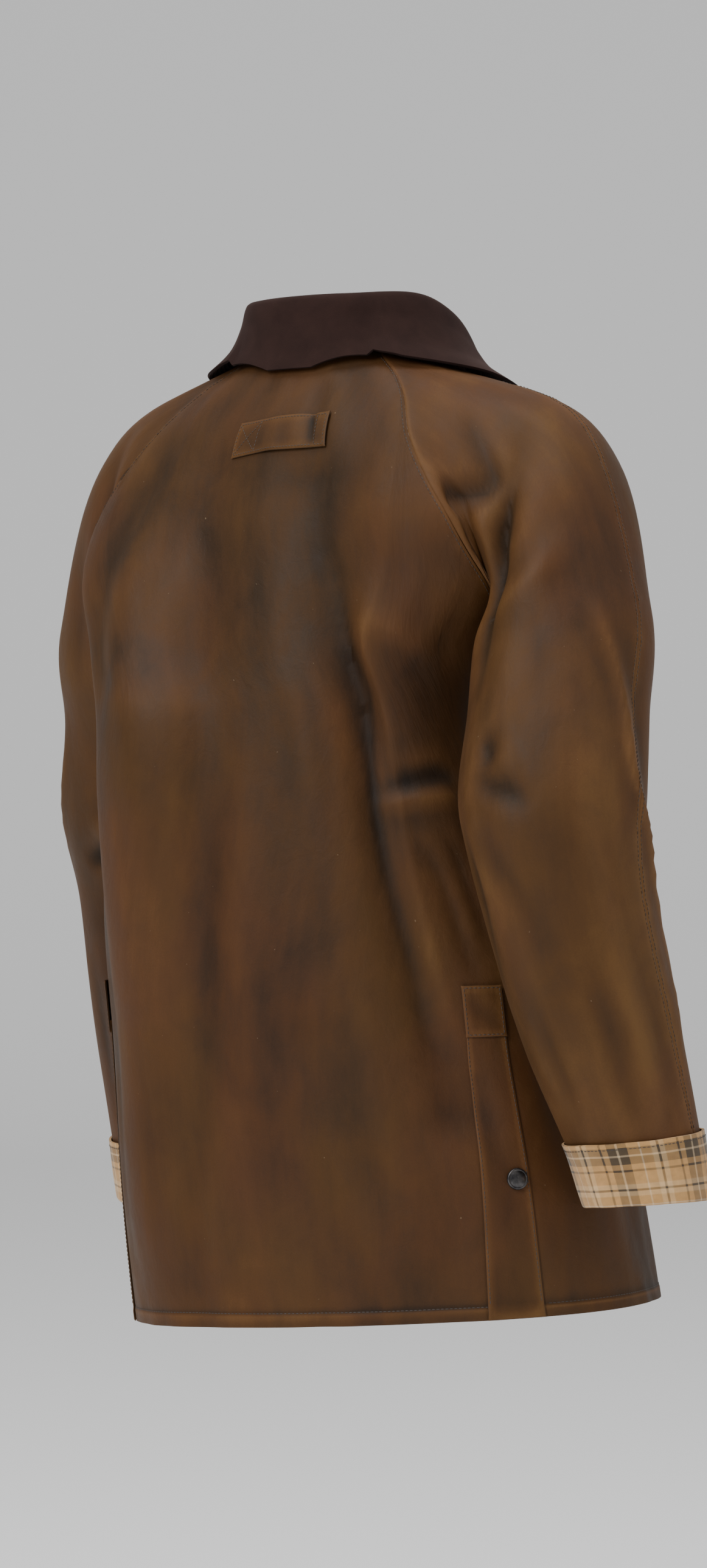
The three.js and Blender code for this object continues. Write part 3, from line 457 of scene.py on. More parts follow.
def make_mesh(name, points, faces, materials, face_material=None, uv=None, attributes=None):
    """A mesh object from millimetre points and a list of equal-sided face arrays."""
    mesh = bpy.data.meshes.new(name)
    faces = [np.asarray(group, int) for group in faces]
    loops = np.concatenate([group.ravel() for group in faces])
    totals = np.concatenate([np.full(len(group), group.shape[1]) for group in faces])
    starts = np.concatenate([[0], np.cumsum(totals)[:-1]])
    mesh.vertices.add(len(points))
    mesh.vertices.foreach_set("co", (np.asarray(points) * MM).astype(np.float32).ravel())
    mesh.loops.add(len(loops))
    mesh.loops.foreach_set("vertex_index", loops.astype(np.int32))
    mesh.polygons.add(len(totals))
    mesh.polygons.foreach_set("loop_start", starts.astype(np.int32))
    mesh.polygons.foreach_set("loop_total", totals.astype(np.int32))
    for material in materials:
        mesh.materials.append(material)
    if face_material is not None:
        mesh.polygons.foreach_set("material_index", np.asarray(face_material, np.int32))
    mesh.update(calc_edges=True)
    mesh.validate()
    if uv is not None:
        layer = mesh.uv_layers.new(name="cloth")
        layer.data.foreach_set("uv", (np.asarray(uv)[loops] / 10).astype(np.float32).ravel())
    for key, values in (attributes or {}).items():
        attribute = mesh.attributes.new(key, "FLOAT", "POINT")
        attribute.data.foreach_set("value", np.asarray(values, np.float32).ravel())
    mesh.shade_smooth()
    mesh.set_sharp_from_angle(angle=math.radians(48))
    piece = bpy.data.objects.new(name, mesh)
    bpy.context.scene.collection.objects.link(piece)
    return piece


def shell(name, outer, materials, closed=False, flip=1, thickness=CLOTH, uv=None, lift=None):
    """A closed wall of cloth from a grid of outer points. The second material is for its inner side."""
    rows, columns = outer.shape[:2]
    normals = grid_normals(outer, closed, flip)
    # Painted shade and wear: the bend is kept as a colour attribute. It darkens the cloth in fold valleys as
    # painted shade and lightens it on ridges as rubbed wax wear.
    wear_and_crease_shade = bend_of(outer, normals, closed)
    inner = outer - normals * thickness
    if lift is not None:
        outer = outer + normals * lift[..., None]
    points = np.concatenate([outer.reshape(-1, 3), inner.reshape(-1, 3)])
    count = rows * columns
    spans = columns if closed else columns - 1
    i, j = np.meshgrid(np.arange(rows - 1), np.arange(spans), indexing="ij")
    after = (j + 1) % columns
    corners = np.stack([i * columns + j, i * columns + after, (i + 1) * columns + after, (i + 1) * columns + j], -1)
    outside = corners.reshape(-1, 4)
    inside = outside[:, ::-1] + count
    j = np.arange(spans)
    after = (j + 1) % columns
    top = (rows - 1) * columns
    edges = [
        np.stack([j, j + count, after + count, after], -1),
        np.stack([top + after, top + after + count, top + j + count, top + j], -1),
    ]
    if not closed:
        i = np.arange(rows - 1) * columns
        end = i + columns - 1
        edges.append(np.stack([i + columns, i + columns + count, i + count, i], -1))
        edges.append(np.stack([end, end + count, end + columns + count, end + columns], -1))
    edges = np.concatenate(edges)
    faces = np.concatenate([outside, inside, edges])
    kinds = np.concatenate([np.zeros(len(outside)), np.ones(len(inside)), np.zeros(len(edges))])
    if flip < 0:
        faces = faces[:, ::-1]
    if uv is None:
        across = np.linalg.norm(np.diff(outer, axis=1), axis=-1)
        down = np.linalg.norm(np.diff(outer, axis=0), axis=-1)
        middle = columns // 2
        u = np.concatenate([np.zeros((rows, 1)), np.cumsum(across, axis=1)], axis=1)
        u = u - u[:, middle:middle + 1]
        v = np.concatenate([[0], np.cumsum(down[:, middle])])[:, None] * np.ones((1, columns))
        uv = np.stack([u, v], -1)
    uv = np.concatenate([uv.reshape(-1, 2)] * 2)
    wear_and_crease_shade = np.concatenate([wear_and_crease_shade.ravel(), np.full(count, 0.5)])
    return make_mesh(name, points, [faces], materials, kinds, uv, {"wear_and_crease_shade": wear_and_crease_shade})


# Panels

def denser_ends(length, step, first=(), last=()):
    """Places from 0 to length, a step apart, closer at the ends."""
    start = first[-1] if first else 0
    end = length - (last[-1] if last else 0)
    count = max(int(round((end - start) / step)), 1)
    middle = np.linspace(start, end, count + 1)
    return np.concatenate([list(first[:-1]), middle, [length - x for x in reversed(last[:-1])]])


def raglan(step):
    steps = np.arange(len(RAGLAN_SEAM))
    return along(steps, RAGLAN_SEAM[:, 0], step), along(steps, RAGLAN_SEAM[:, 1], step)


def side_angle(height):
    return along(SIDE_SEAM[:, 0], SIDE_SEAM[:, 1], height)


def find_side_step():
    low, high = 1.0, float(UNDERARM_STEP)
    for _ in range(40):
        middle = (low + high) / 2
        angle, height = raglan(middle)
        if angle < side_angle(height):
            low = middle
        else:
            high = middle
    return (low + high) / 2


SIDE_STEP = find_side_step()
BODY_STEP = 4.0
EDGE_STEPS = (0, 0.5, 1.2, 2.2, 4, 7)
HEM_STEPS = (0, 0.6, 1.6, 3.2, 5.4, 7.6, 9, 10, 11, 12.4, 15)
BACK_NECK_SHARE = 0.4
FRONT_SHARES = (0.2, 0.74)
FLY = {"lap": 7, "from": 166, "full": 172, "rise": 3.2}


def panel_rows():
    length = NECK - HEM
    return denser_ends(length, BODY_STEP, HEM_STEPS, EDGE_STEPS) / length


def back_grid():
    """Angles and heights of the back's places, from side seam to side seam."""
    neck = np.linspace(0, 1, 17)
    seam = denser_ends(1, 1 / 30, (), (0, 0.004, 0.01, 0.02, 0.04))[1:]
    size = np.concatenate([BACK_NECK_SHARE * neck, mix(BACK_NECK_SHARE, 1, seam)])
    seam_angle, seam_height = raglan(SIDE_STEP * seam)
    top_angle = np.concatenate([neck * RAGLAN_SEAM[0, 0], seam_angle])
    top_height = np.concatenate([np.full(len(neck), NECK), seam_height])
    t = panel_rows()[:, None]
    height = HEM + (top_height - HEM) * t
    lean = top_angle - size * side_angle(top_height)
    angle = size * side_angle(height) + lean * smooth_step(0.35, 1, t)
    gap = np.degrees(SEAM_GAP / 2 / 165)
    angle[:, -1] -= gap
    return np.hstack([-angle[:, :0:-1], angle]), np.hstack([height[:, :0:-1], height])


def front_grid(sign):
    """Angles and heights of a front's places, from the side seam to the front edge."""
    under = denser_ends(1, 1 / 12, (0, 0.02, 0.05, 0.1), ())
    seam = np.linspace(0, 1, 31)[1:]
    angles = np.concatenate([np.arange(143.5, 166, 1.5), np.arange(166, 172.1, 0.6), np.arange(173, 187.1, 1.4)])
    share = np.concatenate([
        FRONT_SHARES[0] * under,
        mix(*FRONT_SHARES, seam),
        mix(FRONT_SHARES[1], 1, (angles - RAGLAN_SEAM[-1, 0]) / (180 + FLY["lap"] - RAGLAN_SEAM[-1, 0])),
    ])
    under_angle, under_height = raglan(mix(SIDE_STEP, UNDERARM_STEP, under))
    seam_angle, seam_height = raglan(mix(UNDERARM_STEP, LAST_STEP, seam))
    top_angle = np.concatenate([under_angle, seam_angle, angles])
    top_height = np.concatenate([under_height, seam_height, np.full(len(angles), NECK)])
    t = panel_rows()[:, None]
    height = HEM + (top_height - HEM) * t
    plain = mix(side_angle(height), 180 + FLY["lap"], share)
    reach = mix(side_angle(top_height), 180 + FLY["lap"], share)
    angle = plain + (top_angle - reach) * smooth_step(0.35, 1, t)
    angle[:, 0] += np.degrees(SEAM_GAP / 2 / 165)
    return sign * angle, height


def front_cloth(angle, height, rise):
    over = smooth_step(FLY["from"], FLY["full"], np.abs(angle)) * rise
    on_body = turned(angle, height)
    return body_cloth(on_body, height) + body_out(on_body, height) * over[..., None]


# Sleeves

SHOULDER = 88
SLEEVE_NECK_TURN = 38
UNDERARM_BEND = math.radians(150)
BACK_SEAM_SHARE = 8 / 11


class Sleeve:
    """A raglan sleeve, from the seam on the body to the wrist."""

    def __init__(self, arm, sign, folds, seed):
        self.sign = sign
        self.folds = folds
        self.seed = seed
        rows = {name: arm[:, i] for i, name in enumerate(ARM_NAMES)}
        lean = np.radians(rows["lean"])
        swing = np.radians(rows["swing"])
        self.centres = arm[:, :3]
        down = np.stack([sign * np.sin(lean) * np.cos(swing), np.sin(swing), -np.cos(lean) * np.cos(swing)], -1)
        guide = np.stack([sign * np.cos(lean), np.zeros(len(arm)), np.sin(lean)], -1)
        back = unit(np.cross(guide, down)) * sign
        back *= np.where(back[:, 1:2] < 0, -1, 1)
        out = unit(np.cross(back, down))
        out *= np.where(dot(out, guide) < 0, -1, 1)
        self.out = out * rows["out"][:, None]
        self.back = back * rows["back"][:, None]
        from_points = np.vstack([[sign * 120, 10, -70], self.centres[:-1]])
        steps = np.maximum(np.linalg.norm(self.centres - from_points, axis=1), 40)
        self.marks = np.concatenate([[0], np.cumsum(steps)])
        self.length = self.marks[-1]

    def seam(self, turn):
        """The seam's angle and height on the body at a turn."""
        around = np.mod(turn, 360)
        behind = around <= 180
        size = np.where(behind, around, 360 - around)
        corner = np.where(behind, RAGLAN_SEAM[0, 0], RAGLAN_SEAM[-1, 0])
        neck_angle = mix(SHOULDER, corner, size / SLEEVE_NECK_TURN)
        part = np.clip((size - SLEEVE_NECK_TURN) / (180 - SLEEVE_NECK_TURN), 0, 1)
        back_step = np.where(
            part < BACK_SEAM_SHARE,
            SIDE_STEP * part / BACK_SEAM_SHARE,
            mix(SIDE_STEP, UNDERARM_STEP, (part - BACK_SEAM_SHARE) / (1 - BACK_SEAM_SHARE)),
        )
        step = np.where(behind, back_step, mix(LAST_STEP, UNDERARM_STEP, part))
        seam_angle, seam_height = raglan(step)
        on_neck = size <= SLEEVE_NECK_TURN
        return np.where(on_neck, neck_angle, seam_angle), np.where(on_neck, NECK, seam_height)

    def start(self, turn):
        angle, height = self.seam(turn)
        return body(turned(-self.sign * angle, height), height)

    def start_out(self, turn):
        angle, height = self.seam(turn)
        return outward(body, turned(-self.sign * angle, height), height, low=HEM, high=NECK)

    def bend(self, turn):
        around = np.mod(turn, 360)
        size = np.minimum(around, 360 - around)
        return size, UNDERARM_BEND * smooth_step(125, 180, size)

    def round_arm(self, k, turn):
        radians = np.radians(turn)[..., None]
        return self.centres[k] + self.out[k] * np.cos(radians) + self.back[k] * np.sin(radians)

    def leaving(self, turn):
        """The way in the body's cloth from the seam to the arm."""
        out = self.start_out(turn)
        square = 0
        for side in (-7, 0, 7):
            line = unit(self.start(turn + side + 3) - self.start(turn + side - 3))
            square = square - self.sign * unit(np.cross(self.start_out(turn + side), line))
        flow = self.round_arm(0, turn) - self.start(turn)
        flow = unit(flow - out * dot(flow, out))
        share = (0.25 + 0.75 * smooth_step(90, 130, self.bend(turn)[0]))[..., None]
        return unit(flow * (1 - share) + unit(square) * share)

    def plain(self, turn, mark):
        """The solids' outer surface."""
        turn, mark = np.broadcast_arrays(np.asarray(turn, float), np.asarray(mark, float))
        flat_turn = turn.ravel()
        turns, where = np.unique(flat_turn, return_inverse=True)
        _, angle = self.bend(turns)
        angle = angle[:, None]
        first = self.start(turns)
        points = [first] + [self.round_arm(k, turns) for k in range(len(self.centres))]
        points = np.stack(points)
        way = self.leaving(turns) * np.cos(angle) + self.start_out(turns) * np.sin(angle)
        reach = np.linalg.norm(points[1] - points[0], axis=-1, keepdims=True) * 0.8 / self.marks[1]
        tangents = [way * reach]
        last = len(points) - 1
        for k in range(1, last + 1):
            after = min(k + 1, last)
            tangents.append((points[after] - points[k - 1]) / (self.marks[after] - self.marks[k - 1]))
        tangents = np.stack(tangents)
        inside = np.clip(mark.ravel(), 0, self.length)
        i = np.clip(np.searchsorted(self.marks, inside) - 1, 0, last - 1)
        span = (self.marks[i + 1] - self.marks[i])[:, None]
        t = (inside - self.marks[i])[:, None] / span
        rise = t * t * (3 - 2 * t)
        found = points[i, where] * (1 - rise) + points[i + 1, where] * rise
        found = found + tangents[i, where] * span * t * (1 - t) ** 2
        found = found - tangents[i + 1, where] * span * t * t * (1 - t)
        return found.reshape(turn.shape + (3,))

    def plain_out(self, turn, mark):
        du = self.plain(turn + 2, mark) - self.plain(turn - 2, mark)
        dv = self.plain(turn, np.minimum(mark + 2, self.length)) - self.plain(turn, np.maximum(mark - 2, 0))
        return unit(np.cross(du, dv)) * -self.sign

    def cloth(self, turn, mark):
        """The cloth's outer surface, with its folds and puckers."""
        turn, mark = np.broadcast_arrays(np.asarray(turn, float), np.asarray(mark, float))
        place = self.plain(turn, mark)
        out = self.plain_out(turn, mark)
        bend = wrap(turn)
        calm = smooth_step(1, 14, mark) * smooth_step(self.length, self.length - 60, mark)
        press = 1.35 * fold_field(bend, mark, self.folds, TURN_MM)
        under = smooth_step(178, 160, np.abs(bend))
        press = press * under - 0.9 * ripples(bend * TURN_MM, mark, self.seed) * under
        over_seam = np.abs(bend) * TURN_MM
        on_neck = smooth_step(24, 8, mark) * smooth_step(38, 32, np.abs(bend))
        lift = -press * calm * (1 - on_neck)
        lift = lift - pucker(mark, np.abs(bend) * 2, 0.4) * (1 - on_neck)
        lift = lift - pucker(over_seam, mark, 1.7)
        lift = lift - 0.7 * np.exp(-mark / 1.1) * (1 - on_neck)
        lift = lift - 0.55 * np.exp(-over_seam / 1.0)
        return place + out * lift[..., None]

    def out_at(self, turn, mark):
        du = self.cloth(turn + 1.2, mark) - self.cloth(turn - 1.2, mark)
        dv = self.cloth(turn, np.minimum(mark + 1.2, self.length)) - self.cloth(turn, np.maximum(mark - 1.2, 0))
        return unit(np.cross(du, dv)) * -self.sign

    def half(self, front):
        """The turns and marks of a half's places."""
        turns = denser_ends(180, 3.4, (0, 0.4, 1.1, 2, 4), (0, 1, 2.4, 4.4))
        turns[0] = SEAM_GAP / 2 / TURN_MM
        turns[-1] = 180 - SEAM_GAP / 2 / TURN_MM
        marks = denser_ends(self.length, 4.0, (0.04, 0.8, 1.8, 3, 5, 8), ())
        return (360 - turns[::-1] if front else turns), marks[:, None]


right_sleeve = Sleeve(RIGHT_ARM, -1, RIGHT_FOLDS, 11)
left_sleeve = Sleeve(LEFT_ARM, 1, LEFT_FOLDS, 12)

# Collar

COLLAR = {"end": 164, "thick": 2.6, "clear": 3.4, "drop": -16, "columns": 131, "step": 0.42}
WALE = {"pitch": 2.4, "height": 0.5}


def under_fall(angle, reach):
    """The height of the cloth that lies reach out from the neck seam, under the collar's fall."""
    seat = body_form(angle, np.full_like(angle, NECK))
    size = np.abs(angle)
    low = np.zeros_like(angle)
    high = np.ones_like(angle)
    first, last = RAGLAN_SEAM[0, 0], RAGLAN_SEAM[-1, 0]
    on_sleeve = (size > first) & (size < last)
    end = np.where(size < SHOULDER, first, last)
    turn = (SHOULDER - size) / np.abs(SHOULDER - end) * SLEEVE_NECK_TURN

    def at(part):
        place = body(angle, NECK - part * 110)
        for sleeve, side in ((right_sleeve, 1), (left_sleeve, -1)):
            chosen = on_sleeve & (np.sign(angle) == side)
            place[chosen] = sleeve.plain(turn[chosen], part[chosen] * 110)
        return place

    for _ in range(24):
        middle = (low + high) / 2
        place = at(middle)
        near = np.hypot(place[:, 0] - seat[:, 0], place[:, 1] - seat[:, 1]) < reach
        low = np.where(near, middle, low)
        high = np.where(near, high, middle)
    return at(low)[:, 2] - seat[:, 2]


def collar_profile(angle):
    """The collar's section at each angle: how far out from the neck seam and how far up."""
    size = np.abs(angle)
    side = smooth_step(25, 80, size)
    front = smooth_step(95, 165, size)
    stand = 37 + 7 * side - 10 * front
    lean = -2 - 10 * side + 4 * front
    reach = 15 + 26 * side - 8 * front
    fly_rise = 3 * smooth_step(150, COLLAR["end"], size)
    low = np.maximum(under_fall(angle, reach) + COLLAR["clear"], COLLAR["drop"]) + fly_rise
    fold_out, fold_up = lean + 9, stand * 0.93
    rows = [
        (0 * size, 0 * size + 0.5),
        (lean * 0.4, stand * 0.35),
        (lean * 0.9, stand * 0.72),
        (lean + 1, stand * 0.95),
        (lean + 5, stand),
        (fold_out, fold_up),
        (mix(fold_out, reach, 0.2), mix(fold_up, low, 0.36)),
        (mix(fold_out, reach, 0.52), mix(fold_up, low, 0.72)),
        (reach, low),
    ]
    return np.array(rows)


def collar_grid():
    """The collar's outer points as profile rows by columns round the neck."""
    angle = np.linspace(-COLLAR["end"], COLLAR["end"], COLLAR["columns"])
    rows = collar_profile(angle)
    seat = body_form(angle, np.full_like(angle, NECK))
    line = body_form(angle + 1, np.full_like(angle, NECK)) - body_form(angle - 1, np.full_like(angle, NECK))
    line[:, 2] = 0
    line = unit(line)
    away = np.stack([line[:, 1], -line[:, 0], np.zeros(len(angle))], -1)
    away *= np.where(np.sum(away[:, :2] * seat[:, :2], axis=1) < 0, -1, 1)[:, None]
    points = seat[None] + away[None] * rows[:, 0][..., None]
    points[..., 2] += rows[:, 1]
    steps = np.linalg.norm(np.diff(points, axis=0), axis=-1)
    middle = len(angle) // 2
    length = np.concatenate([[0], np.cumsum(steps[:, middle])])
    at = np.arange(0, length[-1], COLLAR["step"])
    fine = np.stack([
        np.stack([along(length, points[:, j, k], at) for k in range(3)], -1) for j in range(len(angle))
    ], 1)
    return angle, at, fine


# Materials

def new_material(name):
    material = bpy.data.materials.new(name)
    material.use_nodes = True
    tree = material.node_tree
    shader = tree.nodes["Principled BSDF"]
    return material, tree, shader


def node(tree, kind, **settings):
    made = tree.nodes.new(kind)
    for key, value in settings.items():
        if key in made.inputs:
            made.inputs[key].default_value = value
        else:
            setattr(made, key, value)
    return made


def link(tree, source, target):
    tree.links.new(source, target)


def noise(tree, vector, scale, detail=4.0, roughness=0.55, distortion=0.0):
    made = node(tree, "ShaderNodeTexNoise", Scale=scale, Detail=detail, Roughness=roughness, Distortion=distortion)
    link(tree, vector, made.inputs["Vector"])
    return made.outputs["Fac"]


def ramp(tree, value, stops):
    made = node(tree, "ShaderNodeValToRGB")
    elements = made.color_ramp.elements
    for k, (place, colour) in enumerate(stops):
        if k < len(elements):
            element = elements[k]
            element.position = place
        else:
            element = elements.new(place)
        element.color = (*colour, 1)
    link(tree, value, made.inputs["Fac"])
    return made.outputs["Color"]


def blend_colour(tree, share, first, second, mode="MIX"):
    made = node(tree, "ShaderNodeMix", data_type="RGBA", blend_type=mode)
    for socket, value in ((0, share), (6, first), (7, second)):
        if isinstance(value, bpy.types.NodeSocket):
            link(tree, value, made.inputs[socket])
        elif socket == 0:
            made.inputs[0].default_value = value
        else:
            made.inputs[socket].default_value = (*value, 1)
    return made.outputs[2]


def maths(tree, operation, *values):
    made = node(tree, "ShaderNodeMath", operation=operation)
    for k, value in enumerate(values):
        if isinstance(value, bpy.types.NodeSocket):
            link(tree, value, made.inputs[k])
        else:
            made.inputs[k].default_value = value
    return made.outputs[0]


def spread(tree, value, low, high, to_low=0.0, to_high=1.0):
    made = node(tree, "ShaderNodeMapRange", interpolation_type="SMOOTHSTEP")
    link(tree, value, made.inputs[0])
    for k, number in enumerate((low, high, to_low, to_high)):
        made.inputs[k + 1].default_value = number
    return made.outputs[0]


def mapped(tree, vector, scale):
    made = node(tree, "ShaderNodeMapping")
    made.inputs["Scale"].default_value = scale
    link(tree, vector, made.inputs["Vector"])
    return made.outputs["Vector"]


def bumped(tree, shader, layers):
    """Bump layers as (height socket, strength, distance in metres)."""
    normal = None
    for height, strength, distance in layers:
        made = node(tree, "ShaderNodeBump", Strength=strength, Distance=distance)
        link(tree, height, made.inputs["Height"])
        if normal is not None:
            link(tree, normal, made.inputs["Normal"])
        normal = made.outputs["Normal"]
    link(tree, normal, shader.inputs["Normal"])


def thread_waves(tree, uv, pitch_mm):
    """A plain weave from two crossing waves. The cloth's coordinates are in centimetres."""
    axes = node(tree, "ShaderNodeSeparateXYZ")
    link(tree, uv, axes.inputs[0])
    turns = 2 * math.pi * 10 / pitch_mm
    waves = []
    for axis in (0, 1):
        waves.append(maths(tree, "SINE", maths(tree, "MULTIPLY", axes.outputs[axis], turns)))
    return maths(tree, "MULTIPLY", waves[0], waves[1])


WAX_COLOURS = (
    (0.14, (0.0074, 0.0034, 0.0010)),
    (0.36, (0.0231, 0.0099, 0.0027)),
    (0.54, (0.0441, 0.0177, 0.0045)),
    (0.70, (0.0600, 0.0243, 0.0062)),
    (0.92, (0.0945, 0.0418, 0.0121)),
)


def waxed_material(name, shade=1.0, inside=False):
    material, tree, shader = new_material(name)
    coordinates = node(tree, "ShaderNodeTexCoord")
    place = coordinates.outputs["Object"]
    uv = coordinates.outputs["UV"]
    broad = noise(tree, mapped(tree, place, (1.0, 1.0, 0.42)), 8.0, 3.0, 0.5, 0.4)
    blotch = noise(tree, mapped(tree, place, (1.0, 1.0, 0.6)), 24.0, 5.0, 0.62, 0.3)
    streak = noise(tree, mapped(tree, uv, (1.1, 0.12, 1.0)), 1.0, 4.0, 0.6)
    grain = noise(tree, uv, 7.0, 4.0, 0.65)
    wear_and_crease_shade = node(tree, "ShaderNodeAttribute", attribute_name="wear_and_crease_shade").outputs["Fac"]
    value = maths(tree, "MULTIPLY", broad, 0.80)
    value = maths(tree, "ADD", value, maths(tree, "MULTIPLY", blotch, 0.50))
    value = maths(tree, "ADD", value, maths(tree, "MULTIPLY", streak, 0.14))
    value = maths(tree, "ADD", value, maths(tree, "MULTIPLY", grain, 0.16))
    # Painted shade and wear: the bend attribute darkens the colour in fold valleys as painted shade and lightens it
    # on ridges as rubbed wax wear.
    value = maths(tree, "ADD", value, maths(tree, "MULTIPLY", wear_and_crease_shade, 0.55))
    value = maths(tree, "SUBTRACT", value, 0.54)
    colour = ramp(tree, value, [(p, tuple(c * shade for c in rgb)) for p, rgb in WAX_COLOURS])
    warm = noise(tree, mapped(tree, place, (1.3, 1.3, 0.7)), 8.0, 3.0, 0.5)
    tint = ramp(tree, warm, [(0.38, (0.95, 1.0, 0.92)), (0.5, (1, 1, 1)), (0.62, (1.02, 0.96, 1.06))])
    colour = blend_colour(tree, 1.0, colour, tint, "MULTIPLY")
    lint = noise(tree, mapped(tree, uv, (1.0, 1.0, 1.0)), 3.1, 1.0, 0.4)
    speck = spread(tree, lint, 0.80, 0.84)
    colour = blend_colour(tree, maths(tree, "MULTIPLY", speck, 0.2), colour, (0.35, 0.26, 0.16))
    link(tree, colour, shader.inputs["Base Color"])
    rough = spread(tree, blotch, 0.3, 0.7, 0.70 if inside else 0.50, 0.80 if inside else 0.68)
    link(tree, rough, shader.inputs["Roughness"])
    shader.inputs["Specular IOR Level"].default_value = 0.16
    shader.inputs["Sheen Weight"].default_value = 0.02
    shader.inputs["Sheen Roughness"].default_value = 0.5
    shader.inputs["Sheen Tint"].default_value = (0.75, 0.52, 0.32, 1)
    crinkle = noise(tree, mapped(tree, uv, (1.0, 0.7, 1.0)), 0.9, 4.0, 0.6, 0.6)
    bumped(tree, shader, [
        (crinkle, 0.4, 0.0012),
        (grain, 0.25, 0.0003),
        (thread_waves(tree, uv, 0.6), 0.25, 0.00008),
    ])
    return material


def cord_material():
    material, tree, shader = new_material("corduroy")
    coordinates = node(tree, "ShaderNodeTexCoord")
    uv = coordinates.outputs["UV"]
    wale_and_groove_shade = node(tree, "ShaderNodeAttribute", attribute_name="wale_and_groove_shade").outputs["Fac"]
    patchy = noise(tree, coordinates.outputs["Object"], 42.0, 4.0, 0.6, 0.3)
    pile = noise(tree, mapped(tree, uv, (9.0, 22.0, 1.0)), 1.0, 2.0, 0.6)
    # Painted shade: the wale height darkens the colour in the grooves between wales and lightens it on their
    # crests.
    value = maths(tree, "ADD", maths(tree, "MULTIPLY", wale_and_groove_shade, 0.78), maths(tree, "MULTIPLY", patchy, 0.30))
    value = maths(tree, "ADD", value, maths(tree, "MULTIPLY", pile, 0.10))
    colour = ramp(tree, value, [
        (0.12, (0.003, 0.0015, 0.0013)),
        (0.45, (0.014, 0.0062, 0.0050)),
        (0.75, (0.031, 0.0145, 0.0115)),
        (1.0, (0.055, 0.028, 0.023)),
    ])
    link(tree, colour, shader.inputs["Base Color"])
    shader.inputs["Roughness"].default_value = 0.92
    shader.inputs["Specular IOR Level"].default_value = 0.12
    shader.inputs["Sheen Weight"].default_value = 0.1
    shader.inputs["Sheen Roughness"].default_value = 0.35
    shader.inputs["Sheen Tint"].default_value = (0.5, 0.32, 0.28, 1)
    bumped(tree, shader, [(pile, 0.5, 0.0003)])
    return material


CHECK_PITCH = 5.4
# The check's bands as (middle, half width, share, colour), in parts of its pitch.
CHECK_BANDS = (
    (0.18, 0.125, 0.92, (0.030, 0.024, 0.016)),
    (0.18, 0.014, 0.75, (0.50, 0.38, 0.24)),
    (0.40, 0.016, 0.90, (0.012, 0.010, 0.009)),
    (0.68, 0.085, 0.55, (0.62, 0.44, 0.25)),
    (0.68, 0.016, 0.90, (0.012, 0.010, 0.009)),
    (0.90, 0.010, 0.60, (0.62, 0.50, 0.36)),
)


def check_material():
    material, tree, shader = new_material("check_lining")
    uv = node(tree, "ShaderNodeTexCoord").outputs["UV"]
    axes = node(tree, "ShaderNodeSeparateXYZ")
    link(tree, uv, axes.inputs[0])
    directions = []
    for axis in (0, 1):
        part = maths(tree, "FRACT", maths(tree, "DIVIDE", axes.outputs[axis], CHECK_PITCH))
        colour = (0.40, 0.225, 0.085)
        for middle, half, share, band in CHECK_BANDS:
            far = maths(tree, "ABSOLUTE", maths(tree, "SUBTRACT", part, middle))
            inside = maths(tree, "MULTIPLY", maths(tree, "LESS_THAN", far, half), share)
            colour = blend_colour(tree, inside, colour, band)
        directions.append(colour)
    diagonal = maths(tree, "ADD", axes.outputs[0], axes.outputs[1])
    twill = maths(tree, "SINE", maths(tree, "MULTIPLY", diagonal, 2 * math.pi * 10 / 1.1))
    over = spread(tree, twill, -0.4, 0.4, 0.25, 0.75)
    colour = blend_colour(tree, over, directions[0], directions[1])
    mottle = noise(tree, uv, 2.0, 4.0, 0.6)
    shade = ramp(tree, mottle, [(0.3, (0.84, 0.84, 0.84)), (0.7, (1.06, 1.05, 1.03))])
    colour = blend_colour(tree, 1.0, colour, shade, "MULTIPLY")
    link(tree, colour, shader.inputs["Base Color"])
    shader.inputs["Roughness"].default_value = 0.88
    shader.inputs["Specular IOR Level"].default_value = 0.2
    shader.inputs["Sheen Weight"].default_value = 0.15
    bumped(tree, shader, [(twill, 0.35, 0.0002), (mottle, 0.3, 0.0006)])
    return material


def metal_material():
    material, tree, shader = new_material("gunmetal")
    place = node(tree, "ShaderNodeTexCoord").outputs["Object"]
    scratch = noise(tree, mapped(tree, place, (1.0, 1.0, 3.0)), 900.0, 4.0, 0.65)
    cloud = noise(tree, place, 260.0, 3.0, 0.5)
    colour = ramp(tree, cloud, [(0.3, (0.030, 0.029, 0.031)), (0.7, (0.085, 0.080, 0.078))])
    link(tree, colour, shader.inputs["Base Color"])
    link(tree, spread(tree, scratch, 0.3, 0.7, 0.26, 0.44), shader.inputs["Roughness"])
    shader.inputs["Metallic"].default_value = 0.9
    bumped(tree, shader, [(scratch, 0.15, 0.00008)])
    return material


def thread_material():
    material, tree, shader = new_material("thread")
    place = node(tree, "ShaderNodeTexCoord").outputs["Object"]
    strand = noise(tree, place, 1500.0, 2.0, 0.6)
    colour = ramp(tree, strand, [(0.3, (0.014, 0.009, 0.006)), (0.7, (0.040, 0.025, 0.016))])
    link(tree, colour, shader.inputs["Base Color"])
    shader.inputs["Roughness"].default_value = 0.6
    bumped(tree, shader, [(strand, 0.4, 0.0001)])
    return material


WAXED = waxed_material("waxed_cotton")
WAXED_INSIDE = waxed_material("waxed_cotton_inside", 0.8, True)
CORD = cord_material()
CHECK = check_material()
METAL = metal_material()
THREAD = thread_material()

# Pieces.


def finish_piece(piece, nodes=()):
    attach(piece, "root")
    if nodes:
        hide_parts(*nodes)
    return piece


